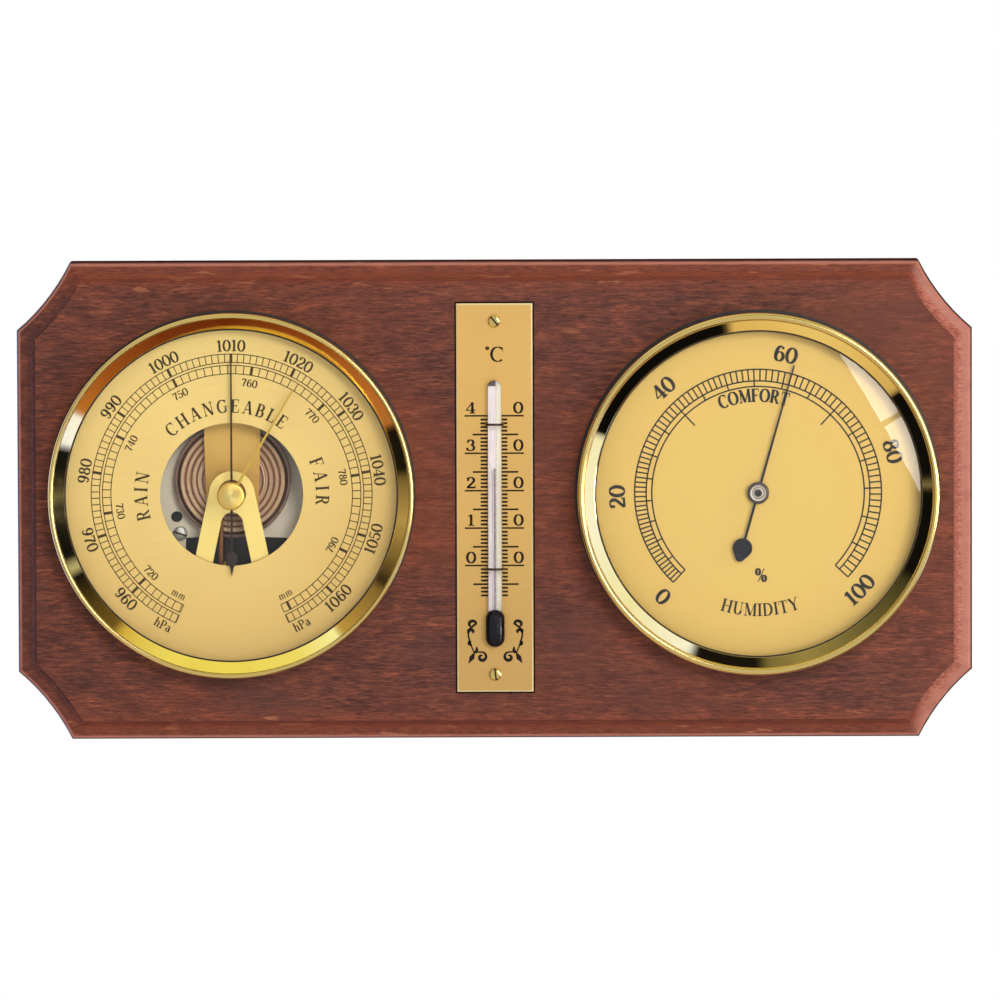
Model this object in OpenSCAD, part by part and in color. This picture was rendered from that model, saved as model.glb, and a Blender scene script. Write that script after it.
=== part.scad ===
// Wall weather station: a moulded wooden board that carries an aneroid barometer,
// a liquid thermometer and a hygrometer.
// +Z is up, +X is to the viewer's right and the front faces -Y.
// The origin is the middle of the board's back face, which lies on the wall.
// Pieces are drawn lying down: x to the right, y up the board and z out from the wall.
// The module on_wall() stands them up. Angles of pointers run clockwise from the top.

/* [Board] */
// Width of the board
board_w = 240; // [225:1:300]
// Height of the board
board_h = 120; // [114:1:160]
// Thickness of the board
board_t = 18; // [18:0.5:24]
// Width of the cut at each corner
corner_w = 13.4; // [10:0.1:16]
// Height of the cut at each corner
corner_h = 17; // [12:0.1:19]
// Radius of the hollow arc along each corner cut
corner_arc_r = 53; // [40:1:200]
// Radius of the moulded edge's outer nose
nose_r = 2; // [1:0.1:3]
// Width of the cove inside the nose
cove_w = 2.3; // [1.5:0.1:3]
// Height of the cove
cove_h = 2.6; // [1.5:0.1:4]
// Width of the flat quirk beside the raised face
quirk_w = 0.5; // [0.2:0.1:1]
// Height of the step from the quirk to the raised face
quirk_h = 1.2; // [0.6:0.1:2]

/* [Hanger] */
// Drop of the hanger plate's middle below the board's top edge
hanger_drop = 15; // [14:0.5:17]
// Width of the hanger plate
hanger_w = 38; // [34:1:46]
// Height of the hanger plate
hanger_h = 22; // [21:1:23]
// Thickness of the hanger plate
hanger_t = 1.5; // [1:0.1:2.5]
// Radius of the hole that a screw's head passes
keyhole_r = 4.5; // [4:0.1:5]
// Width of the slot that the screw's neck rises in
keyslot_w = 4.5; // [3.5:0.1:5]
// Rise of the slot above the hole's middle
keyslot_rise = 9; // [7:0.5:10]
// Distance between the hanger's two screws
hanger_screw_pitch = 29; // [26:1:30]
// Length of the hanger's screws
hanger_screw_l = 10; // [6:1:14]

/* [Instruments] */
// Distance from each side of the board to the middle of its round instrument
instrument_margin = 54; // [51:0.5:60]
// Height of their middles above the board's middle
instrument_y = 2; // [-4:0.1:6]
// Gap between the cases' backs and the wall
case_recess = 2; // [0.5:0.5:4]
// Width of the seat that each case's flange gives its dial
flange_seat_w = 2.4; // [2:0.1:4]
// Sheet thickness of the cases
case_wall = 0.6; // [0.4:0.1:1]
// Room between a case and the hole in the board
case_clearance = 0.4; // [0.2:0.1:1]
// Radius of the dials
dial_r = 43; // [40:0.5:47]
// Thickness of the dials
dial_t = 0.8; // [0.5:0.1:1.2]
// Room from dial to glass
dial_to_glass = 3.6; // [3.4:0.1:6]
// Thickness of the glasses
glass_t = 1.6; // [1.2:0.1:2.5]
// Width of the ring that keeps each glass off its dial
spacer_w = 1.1; // [0.8:0.1:1.5]
// Number of screws that hold each case's flange
flange_screws = 4; // [3:1:6]
// Length of the flange screws
flange_screw_l = 8; // [6:0.5:10]

/* [Bezels] */
// How far the barometer's bezel reaches past its dial
baro_bezel_over = 2.75; // [2.4:0.05:4]
// Radius of the rolled bead on the barometer's bezel
baro_bead_r = 0.65; // [0.5:0.05:0.9]
// How far the hygrometer's bezel reaches past its dial
hygro_bezel_over = 2.4; // [2.2:0.05:4]
// Radius of the rolled bead on the hygrometer's bezel
hygro_bead_r = 0.95; // [0.6:0.05:1.1]
// Sheet thickness of both bezels
bezel_sheet = 0.6; // [0.4:0.05:0.8]
// Height of each bezel's bead above its glass
bezel_rise = 2.7; // [1.5:0.1:4]
// Height of the dome of the hygrometer's glass
dome_h = 4; // [2:0.5:7]
// How far each bezel's lip reaches in over its glass
lip_w = 1.25; // [0.8:0.05:2.5]

/* [Barometer] */
// Radius of the opening in the barometer's dial
opening_r = 18; // [15:0.5:19]
// Length of the pressure pointer from its axis
pointer_l = 34; // [28:0.5:38]
// Length of its tail from the axis to the point
pointer_tail_l = 20.6; // [16:0.1:24]
// Length of the set hand from its axis
set_hand_l = 30.5; // [24:0.5:36]
// Angle of the set hand at rest
set_hand_a = 30.5; // [-150:0.5:150]
// Radius of the knob that turns the set hand
knob_r = 3.6; // [2.8:0.1:5]
// Thickness of the knob's head
knob_h = 2.6; // [2:0.1:5]
// Height of the aneroid capsule's middle above the pointer's axis
capsule_y = 2.9; // [0:0.1:5]
// Radius of the aneroid capsule
capsule_r = 14.9; // [12:0.1:16]
// Thickness of the capsule at its rim
capsule_h = 4; // [3:0.1:5]
// Distance from one ridge of the capsule to the next
ridge_pitch = 1.4; // [1:0.1:2.5]
// Width of the leaf spring
leaf_w = 14.2; // [10:0.1:16]
// Thickness of the leaf spring
leaf_t = 0.6; // [0.4:0.05:0.9]
// Height of the leaf spring's clamp above the pointer's axis
clamp_y = 24; // [23.5:0.5:26]
// Distance from the pointer's axis down to the rocking shaft
rocker_drop = 21.5; // [21:0.1:23]
// Length of the rocking shaft's crank
crank_l = 3; // [2.5:0.1:4]
// Length of the rocking shaft's chain arm
chain_arm_l = 8; // [6:0.1:8.5]
// Radius of the drum that the chain winds on
drum_r = 0.8; // [0.6:0.05:1]
// Width of the bridge's legs at their upper ends
bridge_leg_w = 3.6; // [2.5:0.1:4]
// Turns of the hairspring
hairspring_turns = 4; // [2:1:5]

/* [Thermometer] */
// Width of the thermometer's plate
plate_w = 19.1; // [17:0.1:22]
// Height of the thermometer's plate
plate_h = 97.6; // [94:0.1:105]
// Thickness of the thermometer's plate
plate_t = 0.8; // [0.6:0.1:1.5]
// Height of the plate's middle above the board's middle
thermo_y = 0.85; // [-2:0.05:3]
// Temperature shown, in degrees Celsius
temperature = 26; // [-5:1:38]
// Length of one degree on the scale
degree_l = 0.9405; // [0.85:0.0005:0.97]
// Height of the mark for 0 degrees above the board's middle
zero_mark_y = -16.15; // [-18:0.05:-14]
// Radius of the glass tube
tube_r = 1.75; // [1.5:0.05:2.2]
// Height of the tube's tip above the board's middle
tube_top_y = 30.5; // [26:0.5:34]
// Radius of the bulb
bulb_r = 2.4; // [2.2:0.05:2.6]
// Height of the bulb's upper end above the board's middle
bulb_top_y = -27; // [-28:0.1:-26]
// Length of the bulb
bulb_l = 9.6; // [8:0.1:11]
// Radius of the liquid's column
column_r = 0.25; // [0.15:0.01:0.3]

/* [Hygrometer] */
// Angle of the humidity pointer at rest
humidity_a = 15.9; // [-130:0.1:130]
// Length of the humidity pointer from its axis
hygro_pointer_l = 33.2; // [26:0.1:38]
// Length of its tail from the axis to the point
hygro_tail_l = 17.9; // [15:0.1:22]
// Radius of the pointer's eyelet
eyelet_r = 2.8; // [2:0.1:3.5]
// Outer radius of the humidity coil
coil_r = 11; // [8:0.5:13]
// Turns of the humidity coil
coil_turns = 5; // [3:1:6]
// Width of the coil's strip
coil_strip_w = 6; // [4:0.5:7]

/* [Hidden] */

$fn = 96;

// Colours, as the object shows them
wood = [0.44, 0.25, 0.20];
polished_brass = [0.80, 0.62, 0.26];
gold_dial = [0.88, 0.76, 0.42];
copper = [0.72, 0.50, 0.38];
bronze = [0.55, 0.36, 0.20];
silver = [0.76, 0.73, 0.69];
steel = [0.55, 0.55, 0.56];
black = [0.10, 0.09, 0.10];
clear = [0.80, 0.88, 0.90, 0.35];
white = [0.94, 0.94, 0.92];
liquid_blue = [0.12, 0.13, 0.24];

// Clearances: between turning shafts and their holes, and between stacked pieces
shaft_play = 0.05;
stack_gap = 0.1;
screw_play = 0.05;
// How far a cutting body runs past the face that it cuts
past = 1;

// Levels of the board's moulded edge
moulding_w = nose_r + cove_w + quirk_w;
quirk_z = board_t - quirk_h;
nose_z = quirk_z - cove_h - nose_r;

// Levels of the round instruments, from the wall outwards
floor_z = case_recess + case_wall;
dial_z = board_t + case_wall;
dial_top = dial_z + dial_t;
glass_z = dial_top + dial_to_glass;
glass_top = glass_z + glass_t;
bead_z = glass_top + bezel_rise;
pointer_lift = 1;
pointer_z = dial_top + pointer_lift;
pointer_t = 0.5;
pointer_boss_r = 1.9;
pointer_boss_h = 1.1;
needle_root_w = 0.6;
needle_tip_w = 0.35;
baro_tail_disc_r = 1.6;
baro_tail_spike_l = 4.5;
hygro_tail_disc_r = 2.45;
hygro_tail_spike_l = 3.5;
hand_drop = 0.9;
hand_z = glass_z - hand_drop;
hand_t = 0.3;
hand_root_w = 0.8;
hand_tip_w = 0.4;
hand_hub_r = 1.7;
bezel_foot_gap = 0.05;
lip_seat = 0.4;
lip_gap = 0.03;
hygro_lip_w = 1.8;
instrument_x = board_w / 2 - instrument_margin;
case_r = dial_r - flange_seat_w;
baro_bezel_r = dial_r + baro_bezel_over;
hygro_bezel_r = dial_r + hygro_bezel_over;
case_hole_r = case_r + case_clearance;
baro_flange_r = baro_bezel_r - bezel_sheet - stack_gap;
hygro_flange_r = hygro_bezel_r - bezel_sheet - stack_gap;
flange_screw_r = (case_hole_r + hygro_flange_r) / 2;
screw_head_r = 1.6;
screw_shank_r = 0.9;

// Hanger pocket and screws in the board's back
pocket_w = 13;
pocket_h = 19;
pocket_z = 8.5;
hanger_y = board_h / 2 - hanger_drop;
hanger_hole_drop = 4.5;
hanger_hole_y = hanger_y - hanger_hole_drop;
hanger_screw_r = 1.5;
hanger_head_r = 2.8;
hanger_sink = 1.2;

// Levels of the barometer's movement, down from the dial
bridge_t = 0.9;
bridge_drop = 1.1;
bridge_top = dial_z - bridge_drop;
bridge_z = bridge_top - bridge_t;
bearing_t = 0.5;
bearing_z = bridge_z - bearing_t;
hairspring_h = 0.4;
hairspring_z = bearing_z - 2 * stack_gap - hairspring_h;
drum_h = 0.8;
drum_z = hairspring_z - stack_gap - drum_h;
chain_z = drum_z + drum_h / 2;
cock_t = 0.6;
cock_z = drum_z - stack_gap - cock_t;
leaf_room = 2.1;
leaf_top = cock_z - leaf_room;
leaf_z = leaf_top - leaf_t;
leaf_play = 0.12;
clamp_t = 0.9;
clamp_z = leaf_top + leaf_play;

// Base plate and capsule, up from the case's floor
base_plate_r = 31;
base_plate_t = 1;
standoff_h = 1.4;
standoff_r = 2.4;
base_plate_z = floor_z + standoff_h;
base_plate_top = base_plate_z + base_plate_t;
rim_z = base_plate_top + capsule_h;
capsule_floor = base_plate_top + 0.5;
diaphragm_t = 0.3;
ridge_h = 0.35;
diaphragm_gap = 0.3;
capsule_wall = 0.7;
diaphragm_r = capsule_r - capsule_wall - diaphragm_gap;
diaphragm_z = rim_z - ridge_h;
// The diaphragm's flat middle, which the stud stands on
boss_r = 2.1;
boss_top = diaphragm_z + ridge_h + diaphragm_t;
stud_r = 0.9;
stud_collar_r = 1.8;
stud_collar_h = 0.7;
stud_cap_h = 0.6;
loose_hole = 0.35;
stud_hole_r = stud_r + loose_hole;

// Window in the base plate below the capsule
window_left = -12.2;
window_right = 14.5;
window_low = -19.4;
window_high = -12;
plate_screws = [[-13.7, -10.9], [25, -7], [-20.5, 17.5], [20.5, 17.5]];
plate_screw_head_r = 1.9;
plate_screw_head_h = 0.9;
plate_hole = [-14.6, -6.6];
plate_hole_r = 1.4;

// Spring pillar, clamp and zero screw
pillar_w = 19;
pillar_l = 7;
clamp_w = 17;
clamp_l = 5.6;
clamp_screw_x = 5.2;
clamp_screw_r = 1;
clamp_head_r = 1.7;
clamp_head_h = 0.9;
clamp_screw_grip = 3.5;
zero_screw_r = 1.2;
zero_head_r = 2.6;
zero_head_h = 1.3;
zero_screw_grip = 3.6;
zero_hole_r = zero_head_r + 0.4;
screw_slot_w = 0.8;
screw_slot_h = 0.7;
leaf_tip_y = -3.4;

// Linkage from the leaf spring to the pointer's drum
rocker_y = -rocker_drop;
rocker_z = chain_z - chain_arm_l;
rocker_r = 0.6;
rocker_half_l = 8.4;
bracket_x = 7.5;
bracket_t = 1.2;
bracket_w = 3;
bracket_foot_l = 1.8;
bracket_foot_t = 0.6;
link_x = -3;
link_y = rocker_y + crank_l;
link_t = 0.6;
link_w = 1.5;
link_eye_r = 0.5;
link_pin_r = 0.3;
link_pin_over = 0.3;
crank_x = -2.1;
crank_t = 0.5;
crank_half_w = 0.6;
chain_arm_half_w = 0.5;
// Weight behind the shaft that balances its crank and its chain arm
balance_x = 0.3;
balance_l = 6.2;
balance_t = 1.3;
balance_up = 2;
balance_down = 2.29;
arm_w = 1.2;
arm_t = 1;
arm_top_y = 1.2;
chain_x = -drum_r;
chain_arm_t = 0.6;
chain_wide = 0.5;
chain_thin = 0.2;
chain_links = 13;
chain_lap = 0.2;
arbor_r = 0.5;
arbor_foot = 0.5;

// Bridge over the movement
bridge_apex_r = 5.95;
bridge_hole_r = 3.8;
bridge_foot_y = -25;
bridge_foot_x = 9.95;
bridge_foot_r = 2.4;
pillar_r = 2;
bridge_screw_head_r = 1.6;
bridge_screw_head_h = 0.8;
arch_r = 2.9;
arch_y = -7.8;
// Slope of the legs' outer edges, sideways for each millimetre down
leg_slope = 0.2;
bearing_r = 5.2;
cock_w = 3;
cock_post_x = 4.6;
cock_post_r = 0.55;
cock_half_l = cock_post_x + cock_post_r;
bridge_screw_grip = 4;
hairspring_t = 0.15;
hairspring_in_r = 0.9;
hairspring_out_r = 3.3;
hairspring_stud_w = 0.6;
hairspring_stud_t = 0.5;

// Set hand's knob and its bush in the glass
knob_shaft_r = 0.9;
bush_r = 1.9;
bush_flange_r = 2.5;
bush_flange_t = 0.25;
knob_z = glass_top + bush_flange_t + stack_gap;
knob_neck_h = 1.3;
knob_foot_r = 2.3;
knob_foot_h = 0.4;
knob_neck_r = 1.7;
knob_chamfer = 0.25;
knob_crown = 0.35;

// Thermometer, all from the plate's face
thermo_face = board_t + plate_t;
tube_seat_gap = 0.05;
tube_z = thermo_face + tube_r + tube_seat_gap;
bore_play = 0.08;
bore_r = column_r + bore_play;
bore_head = 1.5;
bulb_neck_l = 1;
bulb_wall = 0.5;
bulb_bottom_y = bulb_top_y - bulb_l;
column_top_y = zero_mark_y + temperature * degree_l;
bore_top_y = tube_top_y - bore_head;
bulb_slot_play = 0.3;
bulb_slot_w = 2 * (bulb_r + bulb_slot_play);
backing_w = 1.9;
backing_t = 0.35;
backing_drop = 0.3;
backing_inset = 0.8;
thermo_screw_y = 44.4;
thermo_head_r = 1.6;
thermo_head_h = 0.9;
thermo_screw_l = 5;
clip_ys = [19.4, -16.9];
clip_wire_r = 0.3;
clip_r = tube_r + clip_wire_r + tube_seat_gap;
clip_leg_l = 2.2;

// Hygrometer's movement
coil_lift = 3.6;
coil_z = floor_z + coil_lift;
coil_t = 0.35;
coil_in_r = 1.85;
collet_r = 1.5;
adjuster_r = 3;
adjuster_flange_r = 5;
adjuster_flange_t = 1;
adjuster_arm_w = 2.4;
adjuster_post_t = 1;
hygro_bridge_room = 1.6;
hygro_bridge_z = coil_z + coil_strip_w + hygro_bridge_room;
hygro_bridge_t = 1;
hygro_bridge_w = 8;
hygro_post_x = 17;
hygro_post_r = 2;
hygro_screw_grip = 4;
hygro_screw_head_r = 1.9;
hygro_screw_head_h = 0.9;
adjuster_slot_w = 1;
adjuster_slot_h = 0.4;
arbor_pit = 0.2;
eyelet_rim_w = 0.4;
eyelet_rim_h = 0.45;
eyelet_floor = 0.25;
eyelet_nut_r = 1.2;
eyelet_h = 0.8;
hygro_dial_hole_r = arbor_r + 0.7;
hygro_dial_r = dial_r - 0.2;

// Ratios of the linkage, printed for the record: each turn for one metre of the diaphragm's travel
turn_per_mm = 1 / (drum_r / chain_arm_l * crank_l / (clamp_y - link_y) * (clamp_y - capsule_y));
echo(pointer_per_m = -1000 * turn_per_mm);
echo(rocker_per_m = 1000 * turn_per_mm * drum_r / chain_arm_l);
echo(leaf_per_m = -1000 / (clamp_y - capsule_y));
echo(rocker_y = rocker_y, rocker_z = rocker_z, leaf_z = leaf_z + leaf_t / 2);
echo(column_top_y = column_top_y, bulb_top_y = bulb_top_y);

// Places

module on_wall(x = 0, y = 0) {
    translate([x, 0, y]) rotate([90, 0, 0]) children();
}

module at_baro() {
    on_wall(-instrument_x, instrument_y) children();
}

module at_hygro() {
    on_wall(instrument_x, instrument_y) children();
}

// Shapes that repeat

module ring(outer, inner, h) {
    difference() {
        cylinder(r = outer, h = h);
        translate([0, 0, -past]) cylinder(r = inner, h = h + 2 * past);
    }
}

module block(x0, x1, y0, y1, z0, z1) {
    translate([x0, y0, z0]) cube([x1 - x0, y1 - y0, z1 - z0]);
}

module at_each(places) {
    for (p = places) translate([p[0], p[1], 0]) children();
}

module around(count, r) {
    for (i = [0:count - 1]) rotate([0, 0, (i + 0.5) * 360 / count]) translate([r, 0, 0]) children();
}

// Round-headed screw whose head stands on z = 0
module pan_screw(head_r, head_h, shank_r, shank_l, slot_w = 0.5) {
    difference() {
        union() {
            cylinder(r1 = head_r, r2 = head_r * 0.75, h = head_h);
            translate([0, 0, -shank_l]) cylinder(r = shank_r, h = shank_l + head_h / 2);
        }
        translate([-head_r - past, -slot_w / 2, head_h * 0.5]) cube([2 * (head_r + past), slot_w, head_h]);
    }
}

// Countersunk screw whose head is flush with z = 0
module flat_screw(head_r, shank_r, sink, shank_l, slot_w = 0.5) {
    difference() {
        union() {
            translate([0, 0, -sink]) cylinder(r1 = shank_r, r2 = head_r, h = sink);
            translate([0, 0, -shank_l]) cylinder(r = shank_r, h = shank_l - sink);
        }
        translate([-head_r - past, -slot_w / 2, -sink / 2]) cube([2 * (head_r + past), slot_w, sink]);
    }
}

module flat_screw_hole(head_r, shank_r, sink, shank_l) {
    translate([0, 0, -sink]) cylinder(r1 = shank_r, r2 = head_r, h = sink);
    translate([0, 0, -shank_l]) cylinder(r = shank_r, h = shank_l);
    cylinder(r = head_r, h = past);
}

// Outline of a strip wound as a flat spiral
function spiral_point(i, count, turns, r0, r1, side) =
    let (share = i / count, r = r0 + (r1 - r0) * share + side, a = 360 * turns * share)
    [r * cos(a), r * sin(a)];

module spiral_strip(turns, r0, r1, t, h) {
    count = turns * 18;
    inner = [for (i = [0:count]) spiral_point(i, count, turns, r0, r1, -t / 2)];
    outer = [for (i = [count:-1:0]) spiral_point(i, count, turns, r0, r1, t / 2)];
    linear_extrude(h) polygon(concat(inner, outer));
}

// Board

function edge_points() = concat(
    [[0, 0]],
    [for (a = [0:15:90]) [nose_r * (1 - cos(a)), nose_z + nose_r * sin(a)]],
    [for (a = [15:15:90]) [nose_r + cove_w * sin(a), quirk_z - cove_h * cos(a)]],
    [[moulding_w, quirk_z], [moulding_w, board_t]]
);

module moulded_prism(across, along) {
    right = [for (p = edge_points()) [across / 2 - p[0], p[1]]];
    left = [for (i = [len(right) - 1:-1:0]) [-right[i][0], right[i][1]]];
    rotate([90, 0, 0]) linear_extrude(along, center = true) polygon(concat(right, left));
}

module corner_cutter() {
    edge = [for (p = edge_points()) [corner_arc_r + p[0], p[1]]];
    below = [[0, -past], [corner_arc_r, -past]];
    above = [[corner_arc_r + moulding_w, board_t + past], [0, board_t + past]];
    rotate_extrude($fn = 240) polygon(concat(below, edge, above));
}

// Middle of a corner's arc, outside the board
corner_chord = sqrt(corner_w * corner_w + corner_h * corner_h);
corner_reach = sqrt(corner_arc_r * corner_arc_r - corner_chord * corner_chord / 4);
corner_x = board_w / 2 - corner_w / 2 + corner_reach * corner_h / corner_chord;
corner_y = board_h / 2 - corner_h / 2 + corner_reach * corner_w / corner_chord;

module keyhole(z0, z1) {
    translate([0, hanger_hole_y, z0]) cylinder(r = keyhole_r, h = z1 - z0);
    translate([0, hanger_hole_y + keyslot_rise, z0]) cylinder(r = keyslot_w / 2, h = z1 - z0);
    block(-keyslot_w / 2, keyslot_w / 2, hanger_hole_y, hanger_hole_y + keyslot_rise, z0, z1);
}

module at_hanger_screws() {
    at_each([[-hanger_screw_pitch / 2, hanger_y], [hanger_screw_pitch / 2, hanger_y]]) children();
}

module hanger_screw_holes() {
    at_hanger_screws() {
        translate([0, 0, -past]) cylinder(r = hanger_screw_r + screw_play, h = hanger_screw_l + past);
    }
}

module board() {
    color(wood) on_wall() difference() {
        intersection() {
            moulded_prism(board_w, board_h + 2 * past);
            rotate([0, 0, 90]) moulded_prism(board_h, board_w + 2 * past);
        }
        for (sx = [-1, 1], sy = [-1, 1]) translate([sx * corner_x, sy * corner_y, 0]) corner_cutter();
        for (sx = [-1, 1]) translate([sx * instrument_x, instrument_y, 0]) {
            translate([0, 0, -past]) cylinder(r = case_hole_r, h = board_t + 2 * past);
            translate([0, 0, board_t - flange_screw_l]) around(flange_screws, flange_screw_r) {
                cylinder(r = screw_shank_r + screw_play, h = flange_screw_l + past);
            }
        }
        block(-hanger_w / 2, hanger_w / 2, hanger_y - hanger_h / 2, hanger_y + hanger_h / 2, -past, hanger_t);
        block(-pocket_w / 2, pocket_w / 2, hanger_y - pocket_h / 2, hanger_y + pocket_h / 2, 0, pocket_z);
        hanger_screw_holes();
        at_each([[0, thermo_y + thermo_screw_y], [0, thermo_y - thermo_screw_y]]) {
            translate([0, 0, board_t - thermo_screw_l]) {
                cylinder(r = screw_shank_r + screw_play, h = thermo_screw_l + past);
            }
        }
        for (y = clip_ys, sx = [-1, 1]) translate([sx * clip_r, y, board_t - clip_leg_l]) {
            cylinder(r = clip_wire_r + screw_play, h = clip_leg_l + past);
        }
    }
}

module hanger_plate() {
    color(polished_brass) on_wall() difference() {
        block(-hanger_w / 2, hanger_w / 2, hanger_y - hanger_h / 2, hanger_y + hanger_h / 2, 0, hanger_t);
        keyhole(-past, hanger_t + past);
        at_hanger_screws() mirror([0, 0, 1]) {
            flat_screw_hole(hanger_head_r, hanger_screw_r, hanger_sink, hanger_screw_l);
        }
    }
}

module hanger_screws() {
    color(polished_brass) on_wall() at_hanger_screws() mirror([0, 0, 1]) {
        flat_screw(hanger_head_r, hanger_screw_r, hanger_sink, hanger_screw_l);
    }
}

// Cases, dials, glasses and bezels of the round instruments

module case_shell(flange_r) {
    difference() {
        union() {
            translate([0, 0, case_recess]) cylinder(r = case_r, h = board_t - case_recess);
            translate([0, 0, board_t]) cylinder(r = flange_r, h = case_wall);
        }
        translate([0, 0, floor_z]) cylinder(r = case_r - case_wall, h = board_t);
        translate([0, 0, dial_z]) around(flange_screws, flange_screw_r) {
            flat_screw_hole(screw_head_r, screw_shank_r, case_wall, flange_screw_l);
        }
    }
}

module case_screws() {
    translate([0, 0, dial_z]) around(flange_screws, flange_screw_r) {
        flat_screw(screw_head_r, screw_shank_r, case_wall, flange_screw_l);
    }
}

// Pressed bezel, as a turned section: skirt, rolled bead, and a cone down to the glass
module bezel_ring(outer_r, bead_r, lip_r, lip_z) {
    bead_mid = outer_r - bead_r;
    inside = outer_r - bezel_sheet;
    bead = [for (a = [0:15:180]) [bead_mid + bead_r * cos(a), bead_z + bead_r * sin(a)]];
    foot = [[inside, board_t + bezel_foot_gap], [outer_r, board_t + bezel_foot_gap]];
    lip = [[lip_r, lip_z + bezel_sheet], [lip_r, lip_z], [dial_r - lip_seat, lip_z]];
    under = [[inside, bead_z - bezel_sheet]];
    rotate_extrude() polygon(concat(foot, bead, lip, under));
}

module baro_case() {
    color(black) at_baro() difference() {
        case_shell(baro_flange_r);
        translate([0, clamp_y, 0]) cylinder(r = zero_hole_r, h = floor_z + past);
        at_each(plate_screws) cylinder(r = screw_shank_r + screw_play, h = floor_z + past);
    }
}

module baro_case_screws() {
    color(steel) at_baro() case_screws();
}

module baro_dial() {
    color(gold_dial) at_baro() translate([0, 0, dial_z]) ring(dial_r, opening_r, dial_t);
}

module baro_spacer_ring() {
    color(black) at_baro() translate([0, 0, dial_top]) ring(dial_r, dial_r - spacer_w, dial_to_glass);
}

module baro_glass() {
    color(clear) at_baro() translate([0, 0, glass_z]) ring(dial_r, bush_r, glass_t);
}

module baro_bezel() {
    color(polished_brass) at_baro() bezel_ring(baro_bezel_r, baro_bead_r, dial_r - lip_w, glass_top);
}

// Barometer's movement: base plate and capsule

module baro_base_plate() {
    color(silver) at_baro() difference() {
        union() {
            translate([0, 0, base_plate_z]) cylinder(r = base_plate_r, h = base_plate_t);
            at_each(plate_screws) translate([0, 0, floor_z]) cylinder(r = standoff_r, h = standoff_h);
        }
        block(window_left, window_right, window_low, window_high, floor_z, base_plate_top + past);
        at_each(plate_screws) cylinder(r = screw_shank_r + screw_play, h = base_plate_top + past);
        translate([plate_hole[0], plate_hole[1], floor_z]) cylinder(r = plate_hole_r, h = base_plate_top);
        translate([0, clamp_y, floor_z]) cylinder(r = zero_screw_r + shaft_play, h = base_plate_top);
    }
}

module base_plate_screws() {
    color(steel) at_baro() at_each(plate_screws) translate([0, 0, base_plate_top]) {
        pan_screw(plate_screw_head_r, plate_screw_head_h, screw_shank_r, base_plate_top - case_recess);
    }
}

module aneroid_capsule() {
    cup_wall = [
        [0, base_plate_top], [capsule_r, base_plate_top], [capsule_r, rim_z],
        [capsule_r - capsule_wall, rim_z], [capsule_r - capsule_wall, capsule_floor], [0, capsule_floor]
    ];
    color(copper) at_baro() translate([0, capsule_y, 0]) rotate_extrude() polygon(cup_wall);
}

// Height of the diaphragm's ridges at radius r
function ridge(r) = diaphragm_z + ridge_h * cos(360 * (r - boss_r) / ridge_pitch);

module capsule_diaphragm() {
    count = 6 * floor((diaphragm_r - boss_r) / ridge_pitch);
    step = (diaphragm_r - boss_r) / count;
    radii = concat([0], [for (i = [0:count]) boss_r + i * step]);
    upper = [for (r = radii) [r, (r < boss_r ? ridge(boss_r) : ridge(r)) + diaphragm_t]];
    lower = [for (i = [len(upper) - 1:-1:0]) [upper[i][0], upper[i][1] - diaphragm_t]];
    color(copper) at_baro() translate([0, capsule_y, 0]) rotate_extrude() polygon(concat(upper, lower));
}

module capsule_stud() {
    collar_z = leaf_z - stack_gap - stud_collar_h;
    cap_z = leaf_top + stack_gap;
    color(polished_brass) at_baro() translate([0, capsule_y, 0]) {
        translate([0, 0, boss_top]) cylinder(r = stud_r, h = cap_z - boss_top);
        translate([0, 0, collar_z]) cylinder(r = stud_collar_r, h = stud_collar_h);
        translate([0, 0, cap_z]) cylinder(r = stud_collar_r, h = stud_cap_h);
    }
}

// Barometer's movement: leaf spring and linkage

module spring_pillar() {
    color(silver) at_baro() difference() {
        block(-pillar_w / 2, pillar_w / 2, clamp_y - pillar_l / 2, clamp_y + pillar_l / 2,
            base_plate_top, leaf_z - leaf_play);
        translate([0, clamp_y, base_plate_top - past]) {
            cylinder(r = zero_screw_r + shaft_play, h = zero_screw_grip + stack_gap + past);
        }
        at_each([[-clamp_screw_x, clamp_y], [clamp_screw_x, clamp_y]]) {
            translate([0, 0, leaf_z - clamp_screw_grip - stack_gap]) {
                cylinder(r = clamp_screw_r, h = clamp_screw_grip + past);
            }
        }
    }
}

module leaf_spring() {
    color([0.78, 0.60, 0.30]) at_baro() difference() {
        block(-leaf_w / 2, leaf_w / 2, leaf_tip_y, clamp_y + clamp_l / 2, leaf_z, leaf_top);
        translate([0, capsule_y, leaf_z - past]) cylinder(r = stud_hole_r, h = leaf_t + 2 * past);
        at_each([[-clamp_screw_x, clamp_y], [clamp_screw_x, clamp_y]]) {
            translate([0, 0, leaf_z - past]) cylinder(r = clamp_screw_r + loose_hole, h = leaf_t + 2 * past);
        }
    }
}

module leaf_clamp() {
    color(polished_brass) at_baro() {
        difference() {
            block(-clamp_w / 2, clamp_w / 2, clamp_y - clamp_l / 2, clamp_y + clamp_l / 2,
                clamp_z, clamp_z + clamp_t);
            at_each([[-clamp_screw_x, clamp_y], [clamp_screw_x, clamp_y]]) {
                translate([0, 0, clamp_z - past]) cylinder(r = clamp_screw_r, h = clamp_t + 2 * past);
            }
        }
        at_each([[-clamp_screw_x, clamp_y], [clamp_screw_x, clamp_y]]) translate([0, 0, clamp_z + clamp_t]) {
            shank_l = clamp_z + clamp_t - leaf_z + clamp_screw_grip;
            pan_screw(clamp_head_r, clamp_head_h, clamp_screw_r, shank_l);
        }
    }
}

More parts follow.
